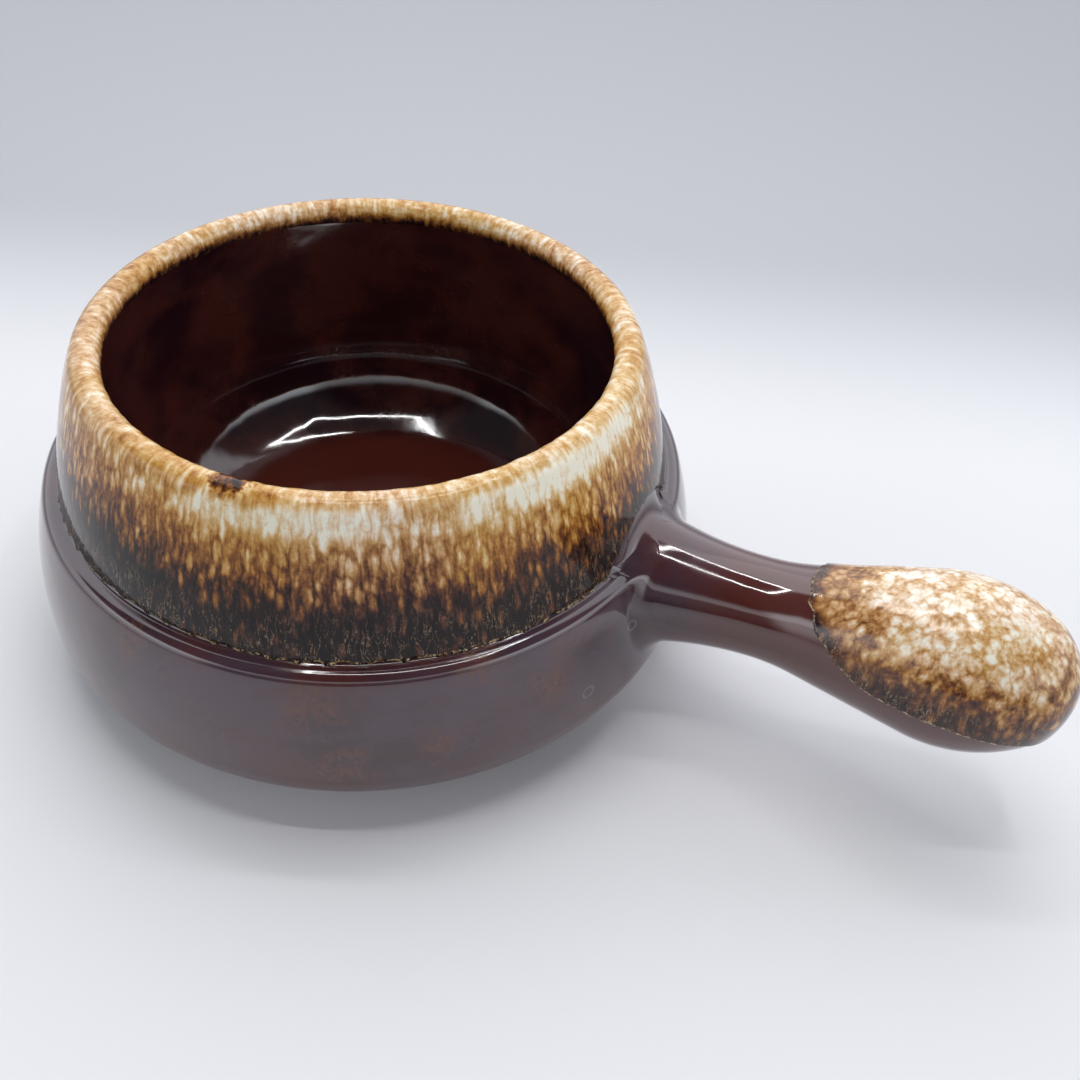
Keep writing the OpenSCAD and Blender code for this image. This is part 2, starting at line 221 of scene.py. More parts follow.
@dataclass(frozen=True)
class BowlForm:
    """The bowl's driving sizes in millimetres, and the arcs that they give."""

    belly_r: float
    height: float
    belly_z: float = 15.2
    belly_arc: float = 60.0
    turn_arc: float = 9.5
    ledge_z: float = 37.8
    shoulder_arc: float = 2.5
    collar_r: float = 59.4
    collar_arc: float = 90.0
    crease_arc: float = 1.0
    mouth_r: float = 49.6
    lip_r: float = 2.5
    floor_z: float = 6.0
    cove_arc: float = 22.0
    foot_r: float = 44.0
    foot_h: float = 1.5
    glaze: float = 0.4
    drip_gap: float = 0.16
    drip: float = 0.5
    drip_in: float = 3.8
    dry: float = 0.8

    @cached_property
    def middles(self) -> dict[str, Array]:
        """Works out the middles of the outline's arcs, each tangent to the next.

        Returns:
            Radius and height of each middle, by the arc's name.
        """
        rim = np.array([self.mouth_r, self.height - self.drip_gap - self.drip - self.lip_r])
        belly = np.array([self.belly_r - self.belly_arc, self.belly_z])
        turn = np.array([self.belly_r - self.turn_arc, self.belly_z])
        under_arc = level_radius(self.foot_r, self.foot_h, turn, self.turn_arc)
        rise = self.ledge_z - self.shoulder_arc - self.belly_z
        shoulder = np.array([belly[0] + leg(self.belly_arc - self.shoulder_arc, rise),
                             self.ledge_z - self.shoulder_arc])
        collar = meeting(np.array([self.collar_r, self.ledge_z]), self.collar_arc,
                         rim, self.collar_arc - self.lip_r)
        crease_z = self.ledge_z + self.crease_arc
        crease = np.array([collar[0] + leg(self.collar_arc + self.crease_arc, crease_z - collar[1]),
                           crease_z])
        cove_z = self.floor_z + self.cove_arc
        cove = np.array([collar[0] + leg(self.collar_arc - 2.0 * self.lip_r - self.cove_arc,
                                         cove_z - collar[1]), cove_z])
        return {"rim": rim, "belly": belly, "turn": turn, "shoulder": shoulder,
                "collar": collar, "crease": crease, "cove": cove,
                "under": np.array([self.foot_r, self.foot_h + under_arc])}

    def arcs(self) -> list[Arc]:
        """Lists the arcs from the foot up the outside, over the lip and down to the floor.

        Returns:
            The arcs in order.
        """
        m = self.middles
        low, high = heading(m["collar"], m["crease"]), heading(m["collar"], m["rim"])
        to_turn = heading(m["under"], m["turn"])
        to_shoulder = heading(m["belly"], m["shoulder"])
        to_cove = heading(m["collar"], m["cove"])
        return [
            Arc(tuple(m["under"]), m["under"][1] - self.foot_h, -90.0, to_turn),
            Arc(tuple(m["turn"]), self.turn_arc, to_turn, 0.0),
            Arc(tuple(m["belly"]), self.belly_arc, 0.0, to_shoulder),
            Arc(tuple(m["shoulder"]), self.shoulder_arc, to_shoulder, 90.0),
            Arc(tuple(m["crease"]), self.crease_arc, 270.0, 180.0 + low, -1),
            Arc(tuple(m["collar"]), self.collar_arc, low, high),
            Arc(tuple(m["rim"]), self.lip_r, high, 180.0 + high),
            Arc(tuple(m["collar"]), self.collar_arc - 2.0 * self.lip_r, high, to_cove, -1),
            Arc(tuple(m["cove"]), self.cove_arc, to_cove, -90.0, -1),
        ]

    @cached_property
    def profile(self) -> Profile:
        """Builds the outline of the brown glaze's surface, from the foot to the axis.

        Returns:
            The outline.
        """
        rows = [arc.rows(Profile.STEP) for arc in self.arcs()]
        edge = self.middles["cove"][0]
        across = np.linspace(edge, 0.0, int(edge / Profile.STEP))
        floor = np.stack([across, np.full_like(across, self.floor_z)], axis=1)
        return Profile([*rows, (floor, np.tile([0.0, 1.0], (len(floor), 1)))])

    @cached_property
    def marks(self) -> dict[str, float]:
        """Gives the distances along the outline at which its stretches end.

        Returns:
            The distances by the stretch's name.
        """
        ends = np.cumsum([arc.length for arc in self.arcs()])
        names = ("under", "turn", "belly", "shoulder", "crease", "collar", "lip",
                 "collar_in", "cove")
        marks = dict(zip(names, ends))
        top = heading(self.middles["collar"], self.middles["rim"])
        marks["crest"] = marks["collar"] + self.lip_r * math.radians(90.0 - top)
        return marks

    def outer_radius(self, z: Array, out: Array | float) -> Array:
        """Gives the radius of the outside at a height, set off outwards: the widest arc there.

        Args:
            z: Heights.
            out: Offset outwards.

        Returns:
            The radius at each height.
        """
        m = self.middles

        def side(name: str, radius: Array | float) -> Array:
            """Gives the right half of a circle: its middle plus the leg at the height."""
            return m[name][0] + np.sqrt(np.maximum(np.square(radius) - (z - m[name][1]) ** 2, 0.0))

        ends = {name: math.sin(math.radians(heading(m[a], m[b])))
                for name, a, b in (("belly", "belly", "shoulder"), ("turn", "under", "turn"))}
        low = np.where(z > self.belly_z + (self.belly_arc + out) * ends["belly"],
                       side("shoulder", self.shoulder_arc + out), side("belly", self.belly_arc + out))
        low = np.where(z <= self.belly_z, side("turn", self.turn_arc + out), low)
        under = m["under"][1] - self.foot_h
        low = np.where(z <= self.belly_z + (self.turn_arc + out) * ends["turn"],
                       side("under", under + out), low)
        low = np.where(z > m["shoulder"][1] + self.shoulder_arc + out, 0.0, low)
        high = np.where(z > self.ledge_z, side("collar", self.collar_arc + out), 0.0)
        hollow = self.crease_arc - out
        tilt = math.sin(math.radians(heading(m["collar"], m["crease"])))
        in_crease = (hollow > 0) & (z > self.ledge_z + out) & (z < m["crease"][1] - hollow * tilt)
        dip = np.sqrt(np.maximum(np.square(hollow) - (z - m["crease"][1]) ** 2, 0.0))
        return np.maximum(np.maximum(low, high), np.where(in_crease, m["crease"][0] - dip, 0.0))


@dataclass(frozen=True)
class HandleForm:
    """The handle's driving sizes in millimetres, and the arcs that they give."""

    knob_r: float
    reach: float = 139.3
    axis_z: float = 21.7
    rise: float = 5.9
    waist_at: float = 84.3
    waist_r: float = 9.5
    flare_arc: float = 69.0
    neck_arc: float = 41.0
    neck_slope: float = 12.0
    knob_arc: float = 26.4
    root_from: float = 46.0
    pool: float = 3.0
    least_lean: float = 0.2
    cone_rows: int = 40
    cap_at: float = 115.7
    cap_edge: tuple[float, ...] = (90.7, 15.6, -3.4, 4.9, -1.7)

    @cached_property
    def middles(self) -> dict[str, Array]:
        """Works out the middles of the arcs, as radius from the axis and distance along it.

        Returns:
            The middles by the arc's name.
        """
        slope = math.radians(self.neck_slope)
        gain = (self.knob_r - self.waist_r
                - (self.neck_arc + self.knob_arc) * (1.0 - math.cos(slope)))
        knob = np.array([self.knob_r - self.knob_arc,
                         self.waist_at + (self.neck_arc + self.knob_arc) * math.sin(slope)
                         + gain / math.tan(slope)])
        past = self.reach - knob[1]
        end_arc = (self.knob_arc ** 2 - past ** 2 - knob[0] ** 2) / (2.0 * (self.knob_arc - past))
        return {"flare": np.array([self.waist_r + self.flare_arc, self.waist_at]),
                "neck": np.array([self.waist_r + self.neck_arc, self.waist_at]),
                "knob": knob, "end": np.array([0.0, self.reach - end_arc])}

    @cached_property
    def profile(self) -> Profile:
        """Builds the outline of the handle's glaze from inside the wall to the tip.

        Returns:
            The outline.
        """
        m = self.middles
        back = math.degrees(math.asin((self.waist_at - self.root_from) / self.flare_arc))
        last = heading(m["knob"], m["end"])
        neck = Arc(tuple(m["neck"]), self.neck_arc, 180.0, 180.0 - self.neck_slope, -1)
        knob = Arc(tuple(m["knob"]), self.knob_arc, -self.neck_slope, last)
        neck_rows, knob_rows = neck.rows(Profile.STEP), knob.rows(Profile.STEP)
        share = np.linspace(0.0, 1.0, self.cone_rows)[:, None]
        cone = neck_rows[0][-1] * (1.0 - share) + knob_rows[0][0] * share
        end_arc = self.reach - m["end"][1]
        return Profile([
            Arc(tuple(m["flare"]), self.flare_arc, 180.0 + back, 180.0, -1).rows(Profile.STEP),
            neck_rows, (cone, np.tile(knob_rows[1][0], (len(cone), 1))), knob_rows,
            Arc(tuple(m["end"]), end_arc, last, 90.0).rows(Profile.STEP)])

    def radius(self, along: Array, out: Array | float = 0.0) -> Array:
        """Gives the handle's radius at a distance along its axis, set off outwards.

        Args:
            along: Distances along the axis.
            out: Offset outwards.

        Returns:
            The radius: a ball's at the tip, and elsewhere the outline's, with the offset over
            the lean of its normal.
        """
        m, (radii, places) = self.middles, self.profile.points.T
        lean = np.interp(along, places, self.profile.normals[:, 0])
        past = m["end"][1]
        ball = np.sqrt(np.maximum(np.square(self.reach - past + out) - (along - past) ** 2, 0.0))
        side = np.interp(along, places, radii) + out / np.maximum(lean, self.least_lean)
        joint = m["knob"][1] + self.knob_arc * math.sin(math.radians(heading(m["knob"], m["end"])))
        return np.where(along > joint, ball, side)

    def place(self, along: Array, rho: Array, angle: Array) -> Array:
        """Puts points given along, from and round the handle's axis into the bowl's frame.

        Args:
            along: Distances along the axis from the bowl's middle.
            rho: Distances from the axis.
            angle: Angles round it in radians, a quarter turn being up.

        Returns:
            The points, by a turn through the rise about the level cross axis.
        """
        rise = math.radians(self.rise)
        across, up = rho * np.cos(angle), rho * np.sin(angle)
        return np.stack([along * math.cos(rise) - up * math.sin(rise), across,
                         self.axis_z + along * math.sin(rise) + up * math.cos(rise)], axis=-1)


class Wrap(Enum):
    """How the two directions of a grid of points close."""

    TUBE = "first direction open, second closed"
    RING = "both directions closed"


@dataclass
class Sheet:
    """A grid of points on a surface, with values that its finish reads."""

    name: str
    points: Array
    wrap: Wrap
    values: dict[str, Array]

    def faces(self) -> Array:
        """Lists the corners of each four-sided face, row by row round the closed direction.

        Returns:
            Four numbers of points for each face.
        """
        rows, columns = self.points.shape[:2]
        last = rows if self.wrap is Wrap.RING else rows - 1
        row, column = np.meshgrid(np.arange(last), np.arange(columns), indexing="ij")
        below, beside = (row + 1) % rows, (column + 1) % columns
        return np.stack([row * columns + column, row * columns + beside,
                         below * columns + beside, below * columns + column], axis=-1).reshape(-1, 4)

    def build(self, sharp: float = 50.0) -> bpy.types.Object:
        """Makes the mesh object: merges rows that meet in a pole and turns faces outwards.

        Args:
            sharp: Angle in degrees above which an edge is not smoothed over.

        Returns:
            The object, linked to the scene.
        """
        rows, columns = self.points.shape[:2]
        flat = self.points.reshape(-1, 3) * MM
        keep = np.arange(rows * columns)
        if self.wrap is Wrap.TUBE:
            keep[:columns] = 0
            keep[-columns:] = (rows - 1) * columns
        used, index = np.unique(keep, return_inverse=True)
        quads = index[self.faces()]
        corners = flat[used][quads]
        side = np.cross(corners[:, 2] - corners[:, 0], corners[:, 3] - corners[:, 1])
        if float((side * corners.mean(axis=1)).sum()) < 0.0:
            quads = quads[:, ::-1]
        polygons = [tuple(dict.fromkeys(face)) for face in quads.tolist()]
        mesh = bpy.data.meshes.new(self.name)
        mesh.from_pydata(flat[used], [], [face for face in polygons if len(face) > 2])
        for label, values in self.values.items():
            flow = values.reshape(rows * columns, -1)[used].astype(np.float32)
            kind, field = ("FLOAT_VECTOR", "vector") if flow.shape[1] == 3 else ("FLOAT", "value")
            mesh.attributes.new(label, kind, "POINT").data.foreach_set(field, flow.ravel())
        mesh.shade_smooth()
        mesh.set_sharp_from_angle(angle=math.radians(sharp))
        piece = bpy.data.objects.new(self.name, mesh)
        bpy.context.scene.collection.objects.link(piece)
        return piece


@dataclass(frozen=True)
class Cloud:
    """A noise per millimetre of each direction, or of all, and how its value is read.

    The reading is a ramp's two ends and what they give, or a middle and a swing about it.
    """

    scale: Scale
    read: Ramp = ()
    detail: float = 2.0
    rough: float = 0.5
    shift: Triple = (0.0, 0.0, 0.0)


class Graph:
    """Short calls that lay out shader nodes and join their sockets."""

    def __init__(self, tree: bpy.types.NodeTree) -> None:
        """Keeps the tree to which nodes are added."""
        self.tree = tree

    def add(self, kind: str, **settings: object) -> Node:
        """Adds a node of a kind and sets its properties.

        Args:
            kind: Its full kind.
            settings: Its properties.

        Returns:
            The node.
        """
        node = self.tree.nodes.new(kind)
        for name, value in settings.items():
            setattr(node, name, value)
        return node

    def feed(self, socket: Socket, value: object) -> None:
        """Links a socket into another, or sets its value where a plain one is given.

        Args:
            socket: The input.
            value: The output to link, or the plain value.
        """
        if isinstance(value, Socket):
            self.tree.links.new(value, socket)
        else:
            socket.default_value = value

    def fill(self, node: Node, values: dict) -> None:
        """Feeds a node's inputs by name or place."""
        for label, value in values.items():
            self.feed(node.inputs[label], value)

    def make(self, kind: str, inputs: dict, output: int | str = 0, **settings: object) -> Socket:
        """Adds a shader node and feeds its inputs.

        Args:
            kind: Its kind, without the first part that all shader nodes share.
            inputs: Sockets or plain values by the name or the place of the input.
            output: Name or place of the output that is given.
            settings: Its properties.

        Returns:
            The output.
        """
        node = self.add(f"ShaderNode{kind}", **settings)
        self.fill(node, inputs)
        return node.outputs[output]

    def math(self, kind: str, *terms: object, clamp: bool = False) -> Socket:
        """Joins sockets or numbers by a Math node, held between 0 and 1 where clamp is set."""
        return self.make("Math", dict(enumerate(terms)), operation=kind, use_clamp=clamp)

    def plus(self, *terms: object) -> Socket:
        """Adds up sockets or numbers."""
        return reduce(lambda total, term: self.math("ADD", total, term), terms)

    def times(self, *factors: object) -> Socket:
        """Multiplies sockets or numbers."""
        return reduce(lambda product, factor: self.math("MULTIPLY", product, factor), factors)

    def about(self, value: object, middle: float, swing: float = 1.0) -> Socket:
        """Measures a value from a middle and multiplies it by a swing."""
        return self.times(self.math("SUBTRACT", value, middle), swing)

    def vectors(self, kind: str, first: object, second: object, output: str = "Vector") -> Socket:
        """Joins two vectors by a Vector Math node."""
        return self.make("VectorMath", {0: first, 1: second}, output, operation=kind)

    def scaled(self, vector: object, scale: Scale) -> Socket:
        """Multiplies a vector by three numbers, or by one in all directions."""
        return self.vectors("MULTIPLY", vector, scale if isinstance(scale, tuple) else (scale,) * 3)

    def dot(self, vector: object, axis: Triple) -> Socket:
        """Gives how far a vector reaches along an axis."""
        return self.vectors("DOT_PRODUCT", vector, axis, "Value")

    def away(self, vector: object, point: Triple) -> Socket:
        """Gives how far a vector is from a point."""
        return self.vectors("DISTANCE", vector, point, "Value")

    def noise(self, vector: object, cloud: Cloud, output: str = "Fac") -> Socket:
        """Adds a noise texture over a scaled and shifted vector and gives its value or colour."""
        spot = self.vectors("ADD", self.scaled(vector, cloud.scale), cloud.shift)
        return self.make("TexNoise", {"Vector": spot, "Scale": 1.0, "Detail": cloud.detail,
                                      "Roughness": cloud.rough}, output)

    def cloud(self, vector: object, cloud: Cloud) -> Socket:
        """Reads a noise through a ramp."""
        return self.step(self.noise(vector, cloud), *cloud.read)

    def sway(self, vector: object, cloud: Cloud) -> Socket:
        """Reads a noise as a swing about its middle."""
        return self.about(self.noise(vector, cloud), *cloud.read)

    def cells(self, vector: object, scale: Scale, feature: str = "F1", random: float = 1.0) -> Socket:
        """Adds a cell texture over a scaled vector and gives the distance that the feature names."""
        return self.make("TexVoronoi", {"Vector": self.scaled(vector, scale), "Scale": 1.0,
                                        "Randomness": random}, "Distance", feature=feature)

    def step(self, value: object, low: float, high: float, to_low: float = 0.0,
             to_high: float = 1.0) -> Socket:
        """Maps low to high smoothly onto another range, held at its ends."""
        return self.make("MapRange", dict(enumerate((value, low, high, to_low, to_high))),
                         interpolation_type="SMOOTHSTEP")

    def mix(self, share: object, first: object, second: object) -> Socket:
        """Mixes two colours by a share."""
        return self.make("Mix", {0: share, 6: first, 7: second}, 2, data_type="RGBA")

    def ramp(self, share: object, stops: Stops) -> Socket:
        """Turns a share into a colour along stops, each a place and a colour.

        Args:
            share: The share, 0 to 1.
            stops: The stops in order.

        Returns:
            The colour.
        """
        node = self.add("ShaderNodeValToRGB")
        self.feed(node.inputs[0], share)
        band = node.color_ramp.elements
        while len(band) < len(stops):
            band.new(0.5)
        for element, (place, colour) in zip(band, stops):
            element.position = place
            element.color = colour
        return node.outputs[0]

    def named(self, label: str, kind: str = "Fac") -> Socket:
        """Reads a value that the mesh carries, or a vector where the kind says so."""
        return self.make("Attribute", {}, kind, attribute_name=label)

    def place(self) -> Socket:
        """Gives the place on the object in millimetres."""
        return self.scaled(self.make("TexCoord", {}, "Object"), 1.0 / MM)


def group(name: str, inputs: dict[str, str], outputs: dict[str, str]) -> tuple[Graph, dict, Node]:
    """Starts a shader node group.

    Args:
        name: The group's name.
        inputs: Kind of socket of each input.
        outputs: Kind of socket of each output.

    Returns:
        Its graph, its input sockets and its output node.
    """
    tree = bpy.data.node_groups.new(name, "ShaderNodeTree")
    for way, sockets in (("INPUT", inputs), ("OUTPUT", outputs)):
        for label, kind in sockets.items():
            tree.interface.new_socket(label, in_out=way, socket_type=f"NodeSocket{kind}")
    graph = Graph(tree)
    entry = graph.add("NodeGroupInput")
    return graph, {label: entry.outputs[label] for label in inputs}, graph.add("NodeGroupOutput")


@dataclass(frozen=True)
class DripFinish:
    """The pale drip glaze: ivory and honey mottle that runs out into dark brown.

    Scales are across, across and down the flow; ramps are as Graph.step takes them.
    """

    stops: Stops = (
        (0.00, srgb(22, 16, 17)), (0.14, srgb(40, 27, 27)), (0.28, srgb(84, 50, 38)),
        (0.42, srgb(138, 90, 50)), (0.56, srgb(184, 136, 84)), (0.70, srgb(212, 174, 130)),
        (0.85, srgb(232, 212, 188)), (1.00, srgb(242, 238, 224)))
    ochre: Stops = (
        (0.00, srgb(22, 16, 17)), (0.14, srgb(42, 28, 24)), (0.28, srgb(92, 54, 32)),
        (0.42, srgb(148, 94, 42)), (0.56, srgb(188, 138, 70)), (0.70, srgb(208, 168, 108)),
        (0.85, srgb(228, 204, 166)), (1.00, srgb(240, 234, 214)))
    hair_colour: Colour = srgb(188, 154, 120)
    speck_colour: Colour = srgb(222, 192, 142)
    drift: Cloud = Cloud((0.45, 0.45, 0.28))
    drift_pull: Triple = (1.0, 1.0, 2.0)
    cell: Triple = (1 / 1.5, 1 / 1.5, 1 / 4.4)
    cell_order: float = 0.92
    cell_pale: Ramp = (0.62, 0.06)
    cell_net: Ramp = (0.12, 0.0, 0.0, -0.09)
    small_cell: Triple = (2.3 / 1.5, 2.3 / 1.5, 2.0 / 4.4)
    small_pale: Ramp = (0.6, 0.1)
    small_share: float = 0.3
    thinning: Cloud = Cloud((0.3, 0.3, 0.16), (0.30, 0.52, 0.5, 1.0), 1.0)
    mean: float = 0.42
    streak: Cloud = Cloud((1 / 0.5, 1 / 0.5, 1 / 4.5), (0.5, 1.05), 4.0, 0.6)
    grain: Cloud = Cloud(1.5, (0.5, 0.75), 5.0, 0.65)
    hair: Cloud = Cloud((1 / 0.7, 1 / 0.7, 1 / 5.0), (0.5,), 3.5, 0.62)
    hair_width: Ramp = (0.016, 0.0)
    hair_patch: Cloud = Cloud((0.6, 0.6, 0.25), (0.36, 0.60))
    speck: Cloud = Cloud(1.1, (0.50, 0.60, 0.0, 0.80), 4.0, 0.7)
    speck_edge: Ramp = (0.85, 0.25)
    pale_height: float = 0.5
    streak_height: float = 0.3
    gloss: Ramp = (0.1, 0.9, 0.07, 0.16)

    def mottle(self) -> bpy.types.NodeTree:
        """Builds the group that turns a tone and a flow into the drip glaze's colours.

        Cells that are long down the flow get pale middles in a darker net; a finer streak and
        thin pale loops run the same way; at the very edge there are pale crescents.

        Returns:
            The node group.
        """
        graph, entry, out = group(
            "drip_mottle",
            {"Flow": "Vector", "Place": "Vector", "Tone": "Float", "Edge": "Float",
             "Contrast": "Float", "Hairs": "Float", "Hue": "Float", "Warp": "Float"}, SKIN)
        drift = graph.scaled(graph.noise(entry["Flow"], self.drift, "Color"), self.drift_pull)
        warp = graph.make("VectorMath", {0: drift, "Scale": entry["Warp"]}, operation="SCALE")
        flow = graph.vectors("ADD", entry["Flow"], warp)
        near = graph.step(graph.cells(flow, self.cell, random=self.cell_order), *self.cell_pale)
        net = graph.cells(flow, self.cell, "DISTANCE_TO_EDGE", self.cell_order)
        small = graph.step(graph.cells(flow, self.small_cell, "SMOOTH_F1"), *self.small_pale)
        pale = graph.plus(graph.times(near, graph.cloud(flow, self.thinning), 1.0 - self.small_share),
                          graph.times(small, self.small_share))
        fibre = graph.noise(flow, self.streak)
        swing = graph.plus(graph.about(pale, self.mean), graph.step(net, *self.cell_net),
                           graph.about(fibre, *self.streak.read), graph.sway(entry["Place"], self.grain))
        tone = graph.math("MULTIPLY_ADD", swing, entry["Contrast"], entry["Tone"], clamp=True)
        colour = graph.mix(entry["Hue"], graph.ramp(tone, self.stops), graph.ramp(tone, self.ochre))
        ridge = graph.step(graph.math("ABSOLUTE", graph.sway(flow, self.hair)), *self.hair_width)
        hair = graph.times(ridge, graph.cloud(flow, self.hair_patch), entry["Hairs"])
        colour = graph.mix(hair, colour, self.hair_colour)
        speck = graph.times(graph.step(entry["Edge"], *self.speck_edge),
                            graph.cloud(entry["Place"], self.speck))
        height = graph.plus(graph.times(pale, self.pale_height), graph.times(fibre, self.streak_height))
        graph.fill(out, {"Color": graph.mix(speck, colour, self.speck_colour), "Height": height,
                         "Gloss": graph.step(tone, *self.gloss)})
        return graph.tree


@dataclass(frozen=True)
class BrownFinish:
    """The dark red-brown glaze: a purple haze outside, partly a painted sheen for the floor's reflection,
    a redder floor, worn patches, ring marks.
    """

    deep: Colour = srgb(42, 19, 27)
    warm: Colour = srgb(80, 38, 33)
    rust: Colour = srgb(94, 50, 38)
    chalk: Colour = srgb(132, 116, 112)
    well: Colour = srgb(88, 38, 30)
    # purple-grey outside the belly and at the handle's root: partly a chalky haze, partly a painted sheen
    # for the floor's reflection
    haze_and_sheen: Colour = srgb(72, 53, 64)
    cloud: Cloud = Cloud(0.045, (0.40, 0.60), 5.0, 0.62)
    well_rise: Ramp = (12.0, 6.8)
    well_floor: Ramp = (4.6, 5.4)
    well_wide: Ramp = (46.0, 38.0)
    handle_red: Ramp = (66.0, 80.0, 0.0, 0.75)
    haze_and_sheen_wide: Ramp = (56.0, 61.0)
    haze_and_sheen_out: Ramp = (82.0, 67.0, 0.1, 1.0)
    haze_and_sheen_cloud: Cloud = Cloud((0.05, 0.05, 0.09), (0.36, 0.62, 0.15, 0.85), 4.0, 0.6)
    fleck: float = 0.21
    fleck_size: Ramp = (0.085, 0.04)
    fleck_cloud: Cloud = Cloud(0.09, (0.56, 0.6), 0.0)
    scuff: Cloud = Cloud(0.06, (0.58, 0.66, 0.0, 0.25), 1.0)
    stray: Cloud = Cloud(0.14, (0.5, 14.0))
    worn: tuple = ((24.8, -59.8, 31.5, 8.0), (55.9, -34.6, 27.6, 6.5), (43.7, -50.2, 22.7, 6.0),
                   (31.1, -59.2, 18.7, 7.0), (-8.6, -63.1, 34.8, 5.0), (46.0, -40.7, 37.8, 5.0))
    worn_core: float = 0.2
    rub: Cloud = Cloud(0.7, (0.40, 0.58, 0.0, 0.80), 5.0, 0.75)
    rings: tuple = ((63.8, -14.4, 28.8, 1.0), (61.2, -26.6, 21.2, 1.2))
    ring_width: Ramp = (0.32, 0.05, 0.0, 0.45)
    slow: Cloud = Cloud(0.07)
    fine: Cloud = Cloud(0.5)
    fine_height: float = 0.03
    pit: float = 0.6
    pit_size: Ramp = (0.05, 0.02, 0.0, -0.06)
    gloss: Ramp = (0.35, 0.7, 0.05, 0.10)
    rubbed_gloss: float = 0.25

    def skin(self) -> bpy.types.NodeTree:
        """Builds the group of the brown glaze's colours and its slight waviness.

        Returns:
            The node group.
        """
        graph, entry, out = group("brown_skin", {"Place": "Vector", "Warmth": "Float"}, SKIN)
        place = entry["Place"]
        up, wide = graph.dot(place, UP), graph.away(graph.scaled(place, (1.0, 1.0, 0.0)), (0.0,) * 3)
        cloud = graph.noise(place, self.cloud)
        warm = graph.math("ADD", graph.step(cloud, *self.cloud.read), entry["Warmth"], clamp=True)
        floor = graph.times(graph.step(up, *self.well_rise), graph.step(up, *self.well_floor),
                            graph.step(wide, *self.well_wide))
        # painted sheen: purple-grey mixed into the colour outside the belly, fading along the handle, for
        # the floor's grey reflection; partly a chalky haze
        haze_and_sheen = graph.times(graph.step(wide, *self.haze_and_sheen_wide), graph.step(wide, *self.haze_and_sheen_out),
                           graph.cloud(place, self.haze_and_sheen_cloud))
        fleck = graph.times(graph.step(graph.cells(place, self.fleck), *self.fleck_size),
                            graph.cloud(place, self.fleck_cloud))
        rubbed = self.rubbed(graph, place)
        rings = [(graph.step(graph.math("ABSOLUTE", graph.about(graph.away(place, (x, y, z)), reach)),
                             *self.ring_width), self.chalk) for x, y, z, reach in self.rings]
        colour = self.deep
        for share, tint in ((warm, self.warm), (floor, self.well),
                            (graph.step(wide, *self.handle_red), self.well), (haze_and_sheen, self.haze_and_sheen),
                            (fleck, self.rust), (rubbed, self.rust), *rings):
            colour = graph.mix(share, colour, tint)
        pits = graph.step(graph.cells(place, self.pit), *self.pit_size)
        height = graph.plus(graph.noise(place, self.slow),
                            graph.times(graph.noise(place, self.fine), self.fine_height), pits)
        gloss = graph.plus(graph.step(cloud, *self.gloss), graph.times(rubbed, self.rubbed_gloss))
        graph.fill(out, {"Color": colour, "Height": height, "Gloss": gloss})
        return graph.tree

    def rubbed(self, graph: Graph, place: Socket) -> Socket:
        """Gives how far the glaze is rubbed: faint scuffs all over, and the worn patches.

        Args:
            graph: The group's graph.
            place: The place on the object in millimetres.

        Returns:
            The share, broken up by a fine noise.
        """
        scuff, stray = graph.cloud(place, self.scuff), graph.sway(place, self.stray)
        for x, y, z, reach in self.worn:
            off = graph.plus(graph.away(place, (x, y, z)), stray)
            scuff = graph.math("MAXIMUM", scuff, graph.step(off, reach, self.worn_core * reach))
        return graph.times(scuff, graph.cloud(place, self.rub))


@dataclass(frozen=True)
class ClayFinish:
    """Bare fired stoneware: buff, gritty and matt."""

    buff: Colour = srgb(186, 154, 118)
    dark: Colour = srgb(142, 108, 78)
    grit: Colour = srgb(84, 62, 48)
    blotch: Cloud = Cloud(0.3, (0.35, 0.7), 4.0, 0.6)
    grain: float = 1.4
    grain_size: Ramp = (0.16, 0.08)
    rough: Cloud = Cloud(2.5, (0.3, 0.7, 0.72, 0.92), 3.0)
    relief: Cloud = Cloud(3.0, (0.25, 0.15), 5.0, 0.7)

    def dress(self, name: str, shade: float) -> bpy.types.Material:
        """Builds the clay's material.

        Args:
            name: The material's name.
            shade: Share of the darker clay.

        Returns:
            The material.
        """
        material, graph, shader = new_material(name)
        place = graph.place()
        share = graph.math("ADD", graph.cloud(place, self.blotch), shade, clamp=True)
        grit = graph.step(graph.cells(place, self.grain), *self.grain_size)
        colour = graph.mix(grit, graph.mix(share, self.buff, self.dark), self.grit)
        graph.fill(shader, {"Base Color": colour, "Roughness": graph.cloud(place, self.rough)})
        bump(graph, shader, graph.noise(place, self.relief), *self.relief.read)
        return material


def new_material(name: str) -> tuple[bpy.types.Material, Graph, Node]:
    """Makes an empty node material with a Principled shader.

    Args:
        name: The material's name.

    Returns:
        The material, its graph and its shader.
    """
    material = bpy.data.materials.new(name)
    material.use_nodes = True
    material.node_tree.nodes.clear()
    graph = Graph(material.node_tree)
    shader = graph.add("ShaderNodeBsdfPrincipled")
    graph.feed(graph.add("ShaderNodeOutputMaterial").inputs["Surface"], shader.outputs[0])
    return material, graph, shader


def bump(graph: Graph, shader: Node, height: Socket, strength: float, depth: float) -> None:
    """Bumps a shader's normal by a height, at a strength and a depth in millimetres."""
    graph.feed(shader.inputs["Normal"], graph.make(
        "Bump", {"Strength": strength, "Distance": depth * MM, "Height": height}, "Normal"))


